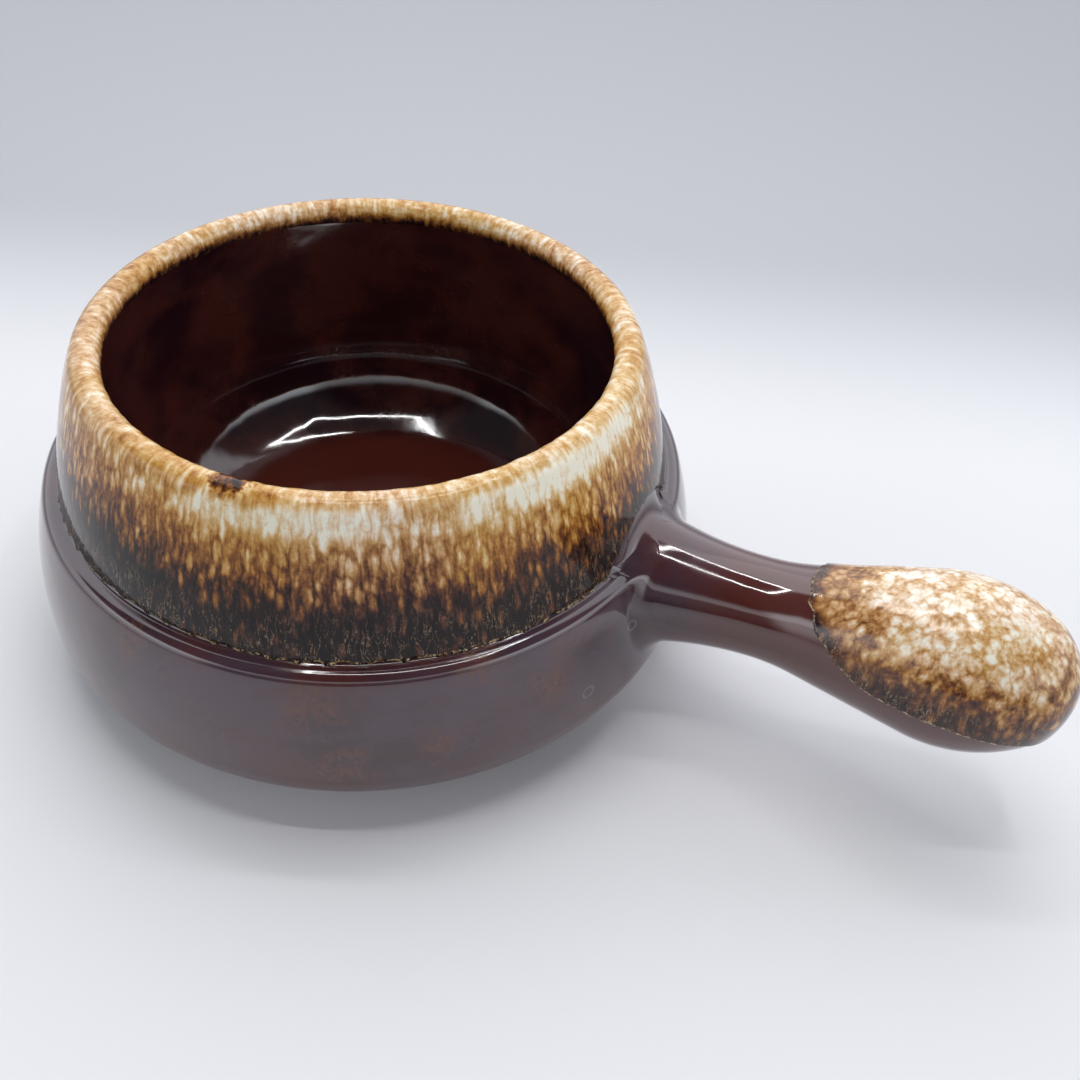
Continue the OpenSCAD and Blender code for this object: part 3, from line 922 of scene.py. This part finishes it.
@dataclass(frozen=True)
class RimTone:
    """How the rim's drip glaze changes from the lip to its edge, by distances in millimetres."""

    index: float = 1.34
    coat: float = 0.0
    relief: tuple[float, float] = (0.12, 0.25)
    warp: float = 1.5
    drift: Cloud = Cloud((0.09, 0.09, 0.03), (0.5, 7.0))
    fringe: Cloud = Cloud((0.7, 0.7, 0.04), (0.5, 11.0), 3.0, 0.6)
    dark: Ramp = (4.5, 20.8, 0.09, 0.59)
    pale: Ramp = (19.5, 28.0, 0.0, 0.12)
    slow: Cloud = Cloud((0.028, 0.028, 0.012), (0.36, 0.64, -0.05, 0.08), 1.0)
    ivory: Cloud = Cloud((0.055, 0.055, 0.1), (0.45, 0.60, 0.0, 0.36), 3.0)
    ivory_top: Ramp = (0.5, 2.5)
    ivory_foot: Ramp = (9.0, 4.0)
    lip: Ramp = (2.0, -1.2, 0.0, 0.06)
    crumb: Cloud = Cloud(0.5, (0.52,), 4.0, 0.65)
    crumb_share: Ramp = (2.5, 0.0, 0.0, 1.0)
    inside: Ramp = (-2.6, -5.6, 0.0, -0.55)
    patch_at: Triple = (6.4, -48.5, 64.7)
    patch: Ramp = (4.0, 2.0, 0.0, -0.38)
    patch_ragged: float = 6.0
    hue: Cloud = Cloud((0.03, 0.03, 0.02), (0.42, 0.58), shift=(7.0, 3.0, 5.0))
    contrast: Ramp = (3.0, 15.0, 0.34, 0.46)
    lip_contrast: Ramp = (0.0, 3.5, 0.55, 1.0)
    hairs: Ramp = (13.0, 3.0, 0.0, 0.85)

    def feeds(self, graph: Graph) -> dict[str, object]:
        """Gives the mottle's inputs: ivory under the lip, honey below it, then dark at the edge.

        Args:
            graph: The material's graph.

        Returns:
            Socket or value of each input.
        """
        edge, below, flow = graph.named("edge"), graph.named("below_crest"), graph.named("flow", "Vector")
        place = graph.place()
        up = graph.plus(edge, graph.sway(flow, self.drift), graph.sway(flow, self.fringe))
        ivory = graph.times(graph.cloud(flow, self.ivory), graph.step(below, *self.ivory_top),
                            graph.step(below, *self.ivory_foot))
        crumb = graph.sway(place, self.crumb)
        near = graph.plus(graph.away(place, self.patch_at), graph.times(crumb, self.patch_ragged))
        tone = graph.plus(
            graph.step(up, *self.dark), graph.step(up, *self.pale), graph.cloud(flow, self.slow), ivory,
            graph.times(crumb, graph.step(below, *self.crumb_share)), graph.step(below, *self.lip),
            graph.step(below, *self.inside), graph.step(near, *self.patch))
        contrast = graph.times(graph.step(up, *self.contrast), graph.step(below, *self.lip_contrast))
        return {"Flow": flow, "Edge": edge, "Warp": self.warp, "Tone": tone, "Contrast": contrast,
                "Hue": graph.cloud(flow, self.hue), "Hairs": graph.step(edge, *self.hairs)}


@dataclass(frozen=True)
class KnobTone:
    """How the knob's drip glaze changes from its top to its edge, by distances in millimetres."""

    index: float = 1.5
    coat: float = 0.0
    relief: tuple[float, float] = (0.12, 0.25)
    warp: float = 1.3
    drift: Cloud = Cloud(0.16, (0.5, 6.0), 3.0)
    fade: Ramp = (-15.0, -4.0, 4.0, 11.5)
    rise: Ramp = (0.0, 1.0, 0.24, 0.60)
    top: Ramp = (0.78, 0.34, 0.0, 0.31)
    blotch: Cloud = Cloud(0.22, (0.42, 0.60, -0.09, 0.12), 3.0, 0.6)
    blotch_edge: Ramp = (3.0, 10.0)
    flow: Triple = (0.75, 0.75, 1.15)
    hue: Cloud = Cloud(0.11, (0.4, 0.6, 0.0, 0.6))
    contrast: Ramp = (1.0, 8.0, 0.28, 0.48)
    hairs: Ramp = (9.0, 2.0, 0.0, 0.8)

    def feeds(self, graph: Graph) -> dict[str, object]:
        """Gives the mottle's inputs: white on top, honey at the sides, dark at the edge.

        Args:
            graph: The material's graph.

        Returns:
            Socket or value of each input.
        """
        edge, place = graph.named("edge"), graph.place()
        up = graph.plus(edge, graph.sway(place, self.drift))
        fade = graph.step(graph.dot(graph.named("flow", "Vector"), AHEAD), *self.fade)
        tone = graph.plus(
            graph.step(graph.math("DIVIDE", up, fade), *self.rise),
            graph.step(graph.named("side"), *self.top),
            graph.times(graph.cloud(place, self.blotch), graph.step(up, *self.blotch_edge)))
        return {"Flow": graph.scaled(place, self.flow), "Edge": edge, "Warp": self.warp, "Tone": tone,
                "Hue": graph.cloud(place, self.hue), "Contrast": graph.step(up, *self.contrast),
                "Hairs": graph.step(edge, *self.hairs)}


@dataclass(frozen=True)
class BrownTone:
    """A brown glaze: a dark coat with a mirror gloss, leaning more or less to the red-brown."""

    warmth: float
    index: float = 1.68
    coat: float = 0.3
    relief: tuple[float, float] = (0.35, 0.6)

    def feeds(self, graph: Graph) -> dict[str, object]:
        """Gives the skin's one plain input."""
        return {"Warmth": self.warmth}


def glaze(name: str, skin: bpy.types.NodeTree, tone: BrownTone | RimTone | KnobTone) -> bpy.types.Material:
    """Builds a glossy glaze from a group of colours.

    Args:
        name: The material's name.
        skin: The group.
        tone: What feeds the group, and how strongly the glaze mirrors.

    Returns:
        The material.
    """
    material, graph, shader = new_material(name)
    node = graph.add("ShaderNodeGroup", node_tree=skin)
    graph.fill(node, {"Place": graph.place(), **tone.feeds(graph)})
    graph.fill(shader, {"Base Color": node.outputs["Color"], "Roughness": node.outputs["Gloss"],
                        "IOR": tone.index, "Coat Weight": tone.coat})
    bump(graph, shader, node.outputs["Height"], *tone.relief)
    return material


class Glazes:
    """The finishes of the whole bowl, each built once."""

    def __init__(self) -> None:
        """Builds the shared groups and the materials."""
        mottle, skin = DripFinish().mottle(), BrownFinish().skin()
        self.brown = glaze("brown_glaze", skin, BrownTone(0.0))
        self.pooled = glaze("pooled_glaze", skin, BrownTone(-0.3))
        self.clay = ClayFinish().dress("bare_clay", 0.0)
        self.slip = ClayFinish().dress("joining_slip", -0.4)
        self.rim = glaze("rim_drip", mottle, RimTone())
        self.knob = glaze("knob_drip", mottle, KnobTone())


def halve(low: Array, high: Array, past: Callable[[Array], Array]) -> Array:
    """Finds where a test turns true between two bounds, by halving the way between them.

    Args:
        low: Where the test is false.
        high: Where it is true.
        past: The test.

    Returns:
        The place of the turn at each point.
    """
    for _ in range(HALVINGS):
        middle = 0.5 * (low + high)
        true = past(middle)
        low, high = np.where(true, low, middle), np.where(true, middle, high)
    return 0.5 * (low + high)


def round_axis(radius: Array, angle: Array, height: Array) -> Array:
    """Lays points round the upright axis: radius times cosine and sine, and a height."""
    return np.stack(np.broadcast_arrays(radius * np.cos(angle), radius * np.sin(angle), height), axis=-1)


def circle(segments: int) -> Array:
    """Gives even angles round a circle, without the last one that meets the first."""
    return np.linspace(0.0, TAU, segments, endpoint=False)


@dataclass
class BowlGlaze:
    """The brown coat of the bowl: one closed shell from the foot over the lip to the floor."""

    form: BowlForm
    segments: int = 288
    step: float = 0.85
    step_turn: float = 7.0
    inner_every: int = 3

    def ways(self) -> Array:
        """Chooses where rows lie along the outline: closer together where it bends tightly.

        Returns:
            The distances along it.
        """
        profile = self.form.profile
        turn = np.linalg.norm(np.diff(profile.normals, axis=0), axis=1)
        load = np.concatenate([[0.0], np.cumsum(np.diff(profile.way) / self.step
                                                + turn / math.radians(self.step_turn))])
        first = np.argmax(profile.points[:, 0] > self.form.foot_r + self.form.dry)
        return np.interp(np.linspace(load[first], load[-1], int(load[-1] - load[first])),
                         load, profile.way)

    def sheet(self) -> Sheet:
        """Lays the outline round the axis from the floor to the foot, and back inside the coat.

        Returns:
            The coat.
        """
        way = self.ways()
        outer = self.form.profile.at(way)
        inner = self.form.profile.at(way[::-self.inner_every], -self.form.glaze)
        radius, height = (np.concatenate([a[::-1], b[::-1]]) for a, b in zip(outer, inner))
        radius = np.maximum(radius, 0.0)
        radius[0] = radius[-1] = 0.0
        points = round_axis(radius[:, None], circle(self.segments), height[:, None])
        return Sheet("bowl_glaze_coat", points, Wrap.TUBE, {})


@dataclass
class HandleGlaze:
    """The brown coat of the handle, from the edge of the pooled glaze to the tip."""

    bowl: BowlForm
    form: HandleForm
    segments: int = 360
    root_rows: int = 60
    waist_rows: int = 28
    knob_rows: int = 90
    inner_every: int = 4
    waist_half: float = 2.0
    vent_r: float = 1.15
    vent_floor_r: float = 0.95
    vent_deep: float = 3.0

    def joint(self, angle: Array, extra: Array | float, out: Array | float) -> Array:
        """Finds where the flared face leaves the bowl's face.

        Args:
            angle: Angles round the handle's axis.
            extra: Offset out from the handle's face.
            out: Offset out from the bowl's face.

        Returns:
            The distance along the handle's axis at each angle.
        """
        def outside(along: Array) -> Array:
            """Tells whether the flared face is outside the bowl's at these distances."""
            spot = self.form.place(along, self.form.radius(along) + extra, angle)
            return np.hypot(spot[..., 0], spot[..., 1]) > self.bowl.outer_radius(spot[..., 2], out)

        return halve(np.full_like(angle, self.form.root_from),
                     np.full_like(angle, self.form.waist_at), outside)

    def ways(self, angle: Array) -> Array:
        """Chooses rows along the outline: from the pooled glaze, then level from the waist on.

        Args:
            angle: Angles round the handle's axis.

        Returns:
            The distances along it, for each row and angle.
        """
        form, profile = self.form, self.form.profile
        first = np.interp(self.joint(angle, 0.0, form.pool), profile.points[:, 1], profile.way)
        waist = np.interp(form.waist_at, profile.points[:, 1], profile.way)
        low, high = waist - self.waist_half, waist + self.waist_half
        share = np.linspace(0.0, 1.0, self.root_rows, endpoint=False)[:, None]
        level = np.concatenate([np.linspace(low, high, self.waist_rows, endpoint=False),
                                np.linspace(high, profile.way[-1], self.knob_rows)])
        return np.concatenate([first[None, :] + (low - first)[None, :] * share,
                               np.broadcast_to(level[:, None], (len(level), len(angle)))])

    def sheet(self) -> Sheet:
        """Lays the outline round the tilted axis, and sinks the coat into the vent.

        Returns:
            The coat.
        """
        form, profile, angle = self.form, self.form.profile, circle(self.segments)
        path = self.ways(angle)
        outer = profile.at(path)
        inner = profile.at(path[::-1][::self.inner_every], -self.bowl.glaze)
        radius, along = (np.concatenate([a[::-1], b[::-1]]) for a, b in zip(outer, inner))
        below = np.abs(angle - DOWN)[None, :] * form.waist_r
        off = np.hypot(along - form.waist_at, below)
        radius = radius - self.vent_deep * (1.0 - smooth(off, self.vent_floor_r, self.vent_r))
        radius[0] = radius[-1] = 0.0
        points = form.place(along, np.maximum(radius, 0.0), angle[None, :])
        return Sheet("handle_glaze_coat", points, Wrap.TUBE, {})


@dataclass
class RootGlaze:
    """The brown glaze that pools in the corner between the handle and the bowl."""

    handle: HandleGlaze
    steps: int = 28

    def sheet(self) -> Sheet:
        """Sweeps a hollow quarter circle round the joint, tangent to both faces.

        Each row offsets the handle by the pool times one less the cosine, and the bowl by
        the pool times one less the sine, then returns under both faces.

        Returns:
            The fillet.
        """
        form, pool, glaze = self.handle.form, self.handle.form.pool, self.handle.bowl.glaze
        sweep = np.radians(np.linspace(0.0, 90.0, self.steps))[:, None]
        returns = np.array([[pool, 0.0, -glaze, -glaze], [-glaze, -glaze, 0.0, pool]])[..., None]
        extra = np.concatenate([pool * (1.0 - np.cos(sweep)), returns[0]])
        out = np.concatenate([pool * (1.0 - np.sin(sweep)), returns[1]])
        angle = np.broadcast_to(circle(self.handle.segments), (len(extra), self.handle.segments))
        along = self.handle.joint(angle, extra, out)
        points = form.place(along, form.radius(along) + extra, angle)
        return Sheet("root_glaze_fillet", points, Wrap.RING, {})


@dataclass(frozen=True)
class Bead:
    """How thick a drip coat is near its edge: thin, but for a bead, and full further in."""

    size: float
    width: float
    fall: float
    thin: float
    thickens: tuple[float, float]

    def body(self, edge: Array, thick: float) -> Array:
        """Gives the thickness at distances from the edge, where it is full at the one given."""
        return (thick * (self.thin + (1.0 - self.thin) * smooth(edge, *self.thickens))
                + self.size * np.exp(-edge / self.fall))

    def rolled(self, edge: Array) -> Array:
        """Rises along a quarter ellipse from 0 at the edge to 1 at the bead's width."""
        return np.sqrt(np.maximum(1.0 - (1.0 - np.clip(edge / self.width, 0, 1)) ** 2, 0.0))


@dataclass
class RimDrip:
    """The pale coat on the lip and collar, with a beaded, ragged lower edge; all in millimetres."""

    form: BowlForm
    handle: HandleGlaze
    segments: int = 720
    rows: int = 84
    inner_rows: int = 12
    crowding: float = 0.45
    bead: Bead = Bead(0.12, 0.8, 1.6, 0.55, (14.0, 26.0))
    taper: float = 4.5
    taper_end: float = 0.03
    lift: float = 0.03
    foot: float = 0.95
    lobes: Ripple = Ripple(0.34, range(22, 60), 0.3, 5)
    fine: Ripple = Ripple(0.08, range(70, 170), 0.6, 8)
    slow: Ripple = Ripple(0.15, range(3, 16), 0.8, 3)
    end_up: float = 0.4
    end_fine: Ripple = Ripple(0.21, range(20, 120), 0.5, 12)
    end_slow: Ripple = Ripple(0.30, range(2, 9), 0.5, 2)
    root_turn: tuple[float, float] = (5.0, 90.0)
    root_steps: int = 90
    root_gap: float = -1.2
    blend: float = 0.3
    root_fade: float = 6.0

    @cached_property
    def root_top(self) -> tuple[Array, Array]:
        """Gives the upper edge of the pooled glaze on the bowl: turn from the handle, and height.

        Returns:
            The turns in rising order, and the height at each.
        """
        angle = np.linspace(*np.radians(self.root_turn), self.root_steps)
        form = self.handle.form
        along = self.handle.joint(angle, form.pool, 0.0)
        spot = form.place(along, form.radius(along) + form.pool, angle)
        turn = np.arctan2(spot[:, 1], spot[:, 0])
        last = int(np.argmin(np.abs(spot[:, 2] - self.form.ledge_z)))
        return turn[last:][::-1], spot[last:, 2][::-1]

    def edge_way(self, angle: Array) -> tuple[Array, Array]:
        """Gives the way along the outline at which the coat ends, and how far the root lifts it.

        The edge lies in the crease, in lobes of uneven width, and climbs the collar so that it
        laps a little over the glaze that pools on the handle's root.

        Args:
            angle: Angles round the bowl.

        Returns:
            The distance along the outline, and the lift in it.
        """
        profile, marks = self.form.profile, self.form.marks
        ragged = np.abs(self.lobes.at(angle)) + self.fine.at(angle) + self.slow.at(angle)
        outer = profile.way <= marks["crest"]
        turn, height = self.root_top
        off = np.abs(np.angle(np.exp(1j * angle)))
        over = np.interp(np.interp(off, turn, height, right=0.0),
                         profile.points[outer, 1], profile.way[outer])
        gap = over + self.root_gap - marks["shoulder"]
        rise = 0.5 * (gap + np.sqrt(gap ** 2 + self.blend ** 2))
        rise = np.where(off < turn[-1], rise, 0.0)
        return marks["shoulder"] + self.foot + rise + ragged, rise

    def inner_end(self, angle: Array) -> Array:
        """Gives the way along the outline at which the coat ends inside the lip.

        Args:
            angle: Angles round the bowl.

        Returns:
            The distance at each angle.
        """
        profile, marks = self.form.profile, self.form.marks
        inner = (profile.way >= marks["lip"]) & (profile.way <= marks["collar_in"])
        ragged = self.end_fine.at(angle) + self.end_slow.at(angle)
        end_z = self.form.height - self.form.drip_in - self.end_up + ragged
        return np.interp(-end_z, -profile.points[inner, 1], profile.way[inner])

    def sheet(self) -> Sheet:
        """Offsets the outline by the coat's thickness between its inner end and its edge.

        The thickness is a quarter ellipse at the edge, a slight bead above it and a long taper
        at the inner end; the underside lies just over the brown glaze.

        Returns:
            The coat.
        """
        form, marks, angle = self.form, self.form.marks, circle(self.segments)
        (low, rise), high = self.edge_way(angle), self.inner_end(angle)
        share = np.linspace(0.0, 1.0, self.rows)
        share = (1.0 - self.crowding) * share + self.crowding * smooth(share, 0.0, 1.0)
        path = high[None, :] + (low - high)[None, :] * share[:, None]
        edge, far = path - low[None, :], high[None, :] - path
        thick = form.drip_gap + form.drip - self.lift
        body = self.bead.body(edge, thick)
        body = body * (self.taper_end + (1.0 - self.taper_end) * smooth(far, 0.0, self.taper))
        outer = form.profile.at(path, self.lift + body * self.bead.rolled(edge))
        back = path[::-1][:: self.rows // self.inner_rows]
        inner = form.profile.at(back, np.full_like(back, self.lift * 0.5))
        radius, height = (np.concatenate(pair) for pair in zip(outer, inner))
        run = np.concatenate([path, back])
        below = marks["crest"] - run
        edge = np.minimum(self.root_fade * (run - low[None, :]), run - (low - rise)[None, :])
        values = {"edge": edge, "below_crest": below,
                  "flow": round_axis(form.mouth_r + form.lip_r, angle, below)}
        return Sheet("rim_drip_coat", round_axis(radius, angle, height), Wrap.RING, values)


@dataclass
class KnobDrip:
    """The pale coat over the top of the knob, thick at its ragged edge.

    Lengths are millimetres; the edge and its ripples are degrees from the upright.
    """

    form: HandleForm
    lift: float = 0.03
    thick: float = 0.5
    bead: Bead = Bead(0.2, 0.7, 1.4, 0.5, (3.0, 12.0))
    lobes: Ripple = Ripple(0.5, range(9, 26), 0.3, 21)
    fine: Ripple = Ripple(0.10, range(30, 90), 0.6, 22)
    segments: int = 420
    rows: int = 96
    inner_every: int = 8
    crowding: float = 1.25

    def edge_angle(self, angle: Array) -> Array:
        """Gives the polar angle of the edge: cosine terms, lobes and fine raggedness.

        Args:
            angle: Angles round the upright line through the knob.

        Returns:
            The polar angle in radians.
        """
        terms = sum(size * np.cos(k * angle) for k, size in enumerate(self.form.cap_edge))
        return np.radians(terms - np.abs(self.lobes.at(angle)) + self.fine.at(angle))

    def reach_out(self, around: Array, polar: Array, out: Array | float) -> Array:
        """Follows rays from inside the knob to its face.

        Args:
            around: Angle of each ray round the upright line through the middle.
            polar: Angle of each ray from that line.
            out: Offset out from the knob's face.

        Returns:
            Each point along the axis, across it and up from it.
        """
        ray = np.stack([np.sin(polar) * np.cos(around), np.sin(polar) * np.sin(around), np.cos(polar)])
        middle = self.form.cap_at

        def outside(way: Array) -> Array:
            """Tells whether the rays are past the knob's face at these distances."""
            return way * np.hypot(ray[1], ray[2]) > self.form.radius(middle + way * ray[0], out)

        way = halve(np.zeros_like(polar),
                    np.full_like(polar, self.form.reach - self.form.root_from), outside)
        return np.stack([middle + way * ray[0], way * ray[1], way * ray[2]])

    def sheet(self) -> Sheet:
        """Lays rings of rays from the top out to the edge, offset by the coat's thickness.

        Returns:
            The coat.
        """
        around = circle(self.segments)
        share = 1.0 - (1.0 - np.linspace(0.0, 1.0, self.rows)) ** self.crowding
        polar = share[:, None] * self.edge_angle(around)[None, :]
        face = self.reach_out(around, polar, 0.0)
        gaps = np.sqrt((np.diff(face, axis=1) ** 2).sum(axis=0))
        way = np.concatenate([np.zeros((1, self.segments)), np.cumsum(gaps, axis=0)])
        edge = way[-1][None, :] - way
        body = self.bead.body(edge, self.thick) * self.bead.rolled(edge)
        outer = self.reach_out(around, polar, self.lift + body)
        inner = self.reach_out(around, polar[::-1][::self.inner_every], self.lift * 0.5)
        along, across, up = np.concatenate([outer, inner], axis=1)
        points = self.form.place(along, np.hypot(across, up), np.arctan2(up, across))
        points[0], points[-1] = points[0].mean(axis=0), points[-1].mean(axis=0)
        run = np.concatenate([way, way[::-1][::self.inner_every]])
        values = {"edge": way[-1][None, :] - run, "side": run / way[-1][None, :],
                  "flow": round_axis(self.form.knob_r, around, run)}
        return Sheet("knob_drip_coat", points, Wrap.TUBE, values)


@dataclass(frozen=True)
class Viewpoint:
    """The photograph's camera, fitted to the outlines, in the bowl's frame."""

    back: float = 176.5
    height: float = 174.8
    yaw: float = 0.204
    pitch: float = 0.751
    roll: float = 0.078
    near: float = 0.01
    handle_turn: float = 33.8
    lens: float = 36.0

    def build(self) -> bpy.types.Object:
        """Adds the camera: a place before the bowl, turned by yaw, pitch and roll.

        Returns:
            The camera.
        """
        ahead = Vector((math.sin(self.yaw) * math.cos(self.pitch),
                        math.cos(self.yaw) * math.cos(self.pitch), -math.sin(self.pitch)))
        right = Vector((math.cos(self.yaw), -math.sin(self.yaw), 0.0))
        up = right.cross(ahead)
        across = math.cos(self.roll) * right + math.sin(self.roll) * up
        upright = -math.sin(self.roll) * right + math.cos(self.roll) * up
        turn = Matrix((across, upright, -ahead)).transposed().to_4x4()
        place = Matrix.Translation(Vector((0.0, -self.back, self.height)) * MM)
        data = bpy.data.cameras.new("camera")
        data.lens, data.sensor_width, data.clip_start = self.lens, self.lens, self.near
        camera = bpy.data.objects.new("camera", data)
        camera.matrix_world = Matrix.Rotation(math.radians(self.handle_turn), 4, "Z") @ place @ turn
        bpy.context.scene.collection.objects.link(camera)
        bpy.context.scene.camera = camera
        return camera


@dataclass(frozen=True)
class Studio:
    """The pale floor with painted shade, the dim room and the rectangular ring of light over the bowl."""

    # the floor's colour fades from the near one to the far one: painted shade for the light falling off
    # beyond the bowl
    floor_near: Colour = srgb(236, 236, 238)
    floor_far_painted_shade: Colour = srgb(190, 191, 195)
    floor_rough: float = 0.6
    floor_gloss: float = 0.2
    backdrop: Colour = srgb(190, 193, 199)
    sky: Stops = ((0.0, srgb(140, 142, 147)), (0.24, srgb(230, 233, 238)), (0.8, srgb(226, 229, 236)))
    fade: Ramp = (50.0, 170.0)
    view_turn: float = 22.1
    floor_half: float = 3000.0
    ring: tuple[float, float] = (210.0, 150.0)
    ring_turn: float = 22.0
    bar: float = 11.0
    ring_at: Triple = (20.0, 20.0, 420.0)
    ring_watts: float = 0.20
    fill: tuple[float, float] = (500.0, 500.0)
    fill_at: Triple = (-200.0, 350.0, 600.0)
    fill_watts: float = 0.40
    room: float = 1.92
    gloom_turn: float = -72.0
    gloom_half: float = 80.0
    gloom_low: Ramp = (0.50, 0.62)
    gloom_edge: Ramp = (-0.42, -0.28)
    gloom_level: Ramp = (0.0, 1.0, 1.0, 0.06)
    stand_half: float = 48.0
    stand_edge: Ramp = (0.0, 0.3, 1.0, 0.12)
    glow_foot: Ramp = (0.36, 0.40)
    glow_top: Ramp = (0.58, 0.46)
    glow_wide: Ramp = (-0.1, 0.25, 0.0, 1.2)

    def build(self) -> None:
        """Adds the floor, the world and the lamps."""
        self.floor()
        self.world()
        self.lamps()

    def floor(self) -> None:
        """Adds the floor, paler near the bowl and greyer beyond it: painted shade for the light that falls
        off away from the bowl.
        """
        half = self.floor_half * MM
        mesh = bpy.data.meshes.new("studio_floor")
        mesh.from_pydata([(-half, -half, 0), (half, -half, 0), (half, half, 0), (-half, half, 0)],
                         [], [(0, 1, 2, 3)])
        floor = bpy.data.objects.new("studio_floor", mesh)
        bpy.context.scene.collection.objects.link(floor)
        material, graph, shader = new_material("studio_paper")
        turn = math.radians(self.view_turn)
        # painted shade: the floor's colour greys along the view, away from the camera
        share = graph.step(graph.dot(graph.place(), (-math.sin(turn), math.cos(turn), 0.0)), *self.fade)
        graph.feed(shader.inputs["Base Color"], graph.mix(share, self.floor_near, self.floor_far_painted_shade))
        shader.inputs["Roughness"].default_value = self.floor_rough
        shader.inputs["Specular IOR Level"].default_value = self.floor_gloss
        mesh.materials.append(material)

    def world(self) -> None:
        """Sets a plain pale backdrop, and for light and reflections a room.

        The room is dim at the horizon, dark overhead behind the camera with a band of glow
        under that, and dim where a person stands at the camera. Wedges are cut by the way
        ahead less the way aside over the tangent of half their width.
        """
        world = bpy.data.worlds.new("room")
        bpy.context.scene.world = world
        world.use_nodes = True
        world.node_tree.nodes.clear()
        graph = Graph(world.node_tree)
        way = graph.make("TexCoord", {}, "Generated")
        up = graph.dot(way, UP)
        sky = graph.ramp(graph.math("ABSOLUTE", up), self.sky)
        turn = math.radians(self.gloom_turn)
        ahead = graph.dot(way, (math.cos(turn), math.sin(turn), 0.0))
        aside = graph.math("ABSOLUTE", graph.dot(way, (-math.sin(turn), math.cos(turn), 0.0)))
        wedges = (graph.plus(ahead, graph.times(aside, -1.0 / math.tan(math.radians(half))))
                  for half in (self.gloom_half, self.stand_half))
        gloom, stand = (graph.step(wedge, *edge)
                        for wedge, edge in zip(wedges, (self.gloom_edge, self.stand_edge)))
        gloom = graph.step(graph.times(gloom, graph.step(up, *self.gloom_low)), *self.gloom_level)
        band = graph.times(graph.step(up, *self.glow_foot), graph.step(up, *self.glow_top),
                           graph.step(ahead, *self.glow_wide))
        light = graph.plus(graph.times(gloom, stand, self.room), band)
        seen = graph.make("LightPath", {}, "Is Camera Ray")
        level = graph.plus(light, graph.times(graph.math("SUBTRACT", 1.0, light), seen))
        shade = graph.make("Background", {"Color": graph.mix(seen, sky, self.backdrop), "Strength": level})
        graph.feed(graph.add("ShaderNodeOutputWorld").inputs["Surface"], shade)

    def lamp(self, name: str, size: tuple[float, float], place: Triple, watts: float,
             aim: Triple, turn: float = 0.0) -> None:
        """Adds a rectangular lamp that faces a point.

        Args:
            name: The lamp's name.
            size: Its width and depth.
            place: Where it is.
            watts: Its power.
            aim: The point that it faces.
            turn: Degrees by which it is turned about the way to that point.
        """
        data = bpy.data.lights.new(name, "AREA")
        data.shape, data.size, data.size_y = "RECTANGLE", size[0] * MM, size[1] * MM
        data.energy = watts
        lamp = bpy.data.objects.new(name, data)
        lamp.location = Vector(place) * MM
        facing = (Vector(place) - Vector(aim)).to_track_quat("Z", "Y").to_matrix()
        lamp.rotation_euler = (facing @ Matrix.Rotation(math.radians(turn), 3, "Z")).to_euler()
        bpy.context.scene.collection.objects.link(lamp)

    def lamps(self) -> None:
        """Adds four bars that make the ring, and a wide soft lamp."""
        wide, deep = self.ring
        x, y, z = self.ring_at
        turn = math.radians(self.ring_turn)
        for side in (-0.5, 0.5):
            for name, size, ahead, aside, share in (
                    ("ring_long", (wide + self.bar, self.bar), 0.0, side * deep, 1.0),
                    ("ring_short", (self.bar, deep), side * wide, 0.0, deep / wide)):
                spot = (x + ahead * math.cos(turn) - aside * math.sin(turn),
                        y + ahead * math.sin(turn) + aside * math.cos(turn))
                self.lamp(name, size, (*spot, z), self.ring_watts * share, (*spot, 0.0), self.ring_turn)
        self.lamp("soft_top", self.fill, self.fill_at, self.fill_watts, (0.0, 0.0, 0.0))


def dress(piece: bpy.types.Object, material: bpy.types.Material) -> None:
    """Gives every face of a piece one material."""
    piece.data.materials.clear()
    piece.data.materials.append(material)


class SoupBowl:
    """The whole bowl: the forms read from the frame, the coats and the clay beneath."""

    def __init__(self, glazes: Glazes) -> None:
        """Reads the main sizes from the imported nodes.

        Args:
            glazes: The finishes.
        """
        self.glazes = glazes
        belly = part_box("bowl_glaze")[1].y / MM
        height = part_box("rim_drip_glaze")[1].z / MM
        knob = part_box("handle_glaze")[1].y / MM
        self.bowl = BowlForm(belly_r=belly, height=round(height, 1))
        self.handle = HandleForm(knob_r=knob)
        LOG.info("belly radius %.2f mm, height %.2f mm, knob radius %.2f mm", belly, height, knob)

    def build(self) -> None:
        """Builds each coat over its node, and finishes the clay that stays."""
        handle = HandleGlaze(self.bowl, self.handle)
        coats = (
            (BowlGlaze(self.bowl).sheet(), "bowl_glaze", "brown_glaze", self.glazes.brown),
            (handle.sheet(), "handle_glaze", "brown_glaze", self.glazes.brown),
            (RootGlaze(handle).sheet(), "root_glaze", "pooled_glaze", self.glazes.brown),
            (RimDrip(self.bowl, handle).sheet(), "rim_drip_glaze", "drip_glaze", self.glazes.rim),
            (KnobDrip(self.handle).sheet(), "handle_drip_glaze", "drip_glaze", self.glazes.knob),
        )
        for sheet, node, slot, material in coats:
            piece = sheet.build()
            dress(piece, material)
            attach(piece, "root")
            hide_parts(node)
            LOG.info("%s: %d faces for %s", piece.name, len(piece.data.polygons), node)
        for node, material in (("bowl_body", self.glazes.clay), ("stick_handle", self.glazes.clay),
                               ("luting_slip", self.glazes.slip),
                               ("underside_glaze", self.glazes.pooled)):
            dress(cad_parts[node], material)
            LOG.info("%s: kept from the frame", node)


def main() -> None:
    """Builds the stage, the finishes and the bowl in order."""
    logging.basicConfig(level=logging.INFO, format="%(message)s")
    bpy.context.scene.view_settings.view_transform = "Standard"
    Viewpoint().build()
    Studio().build()
    SoupBowl(Glazes()).build()
    bpy.context.view_layer.update()


if __name__ == "__main__":
    main()
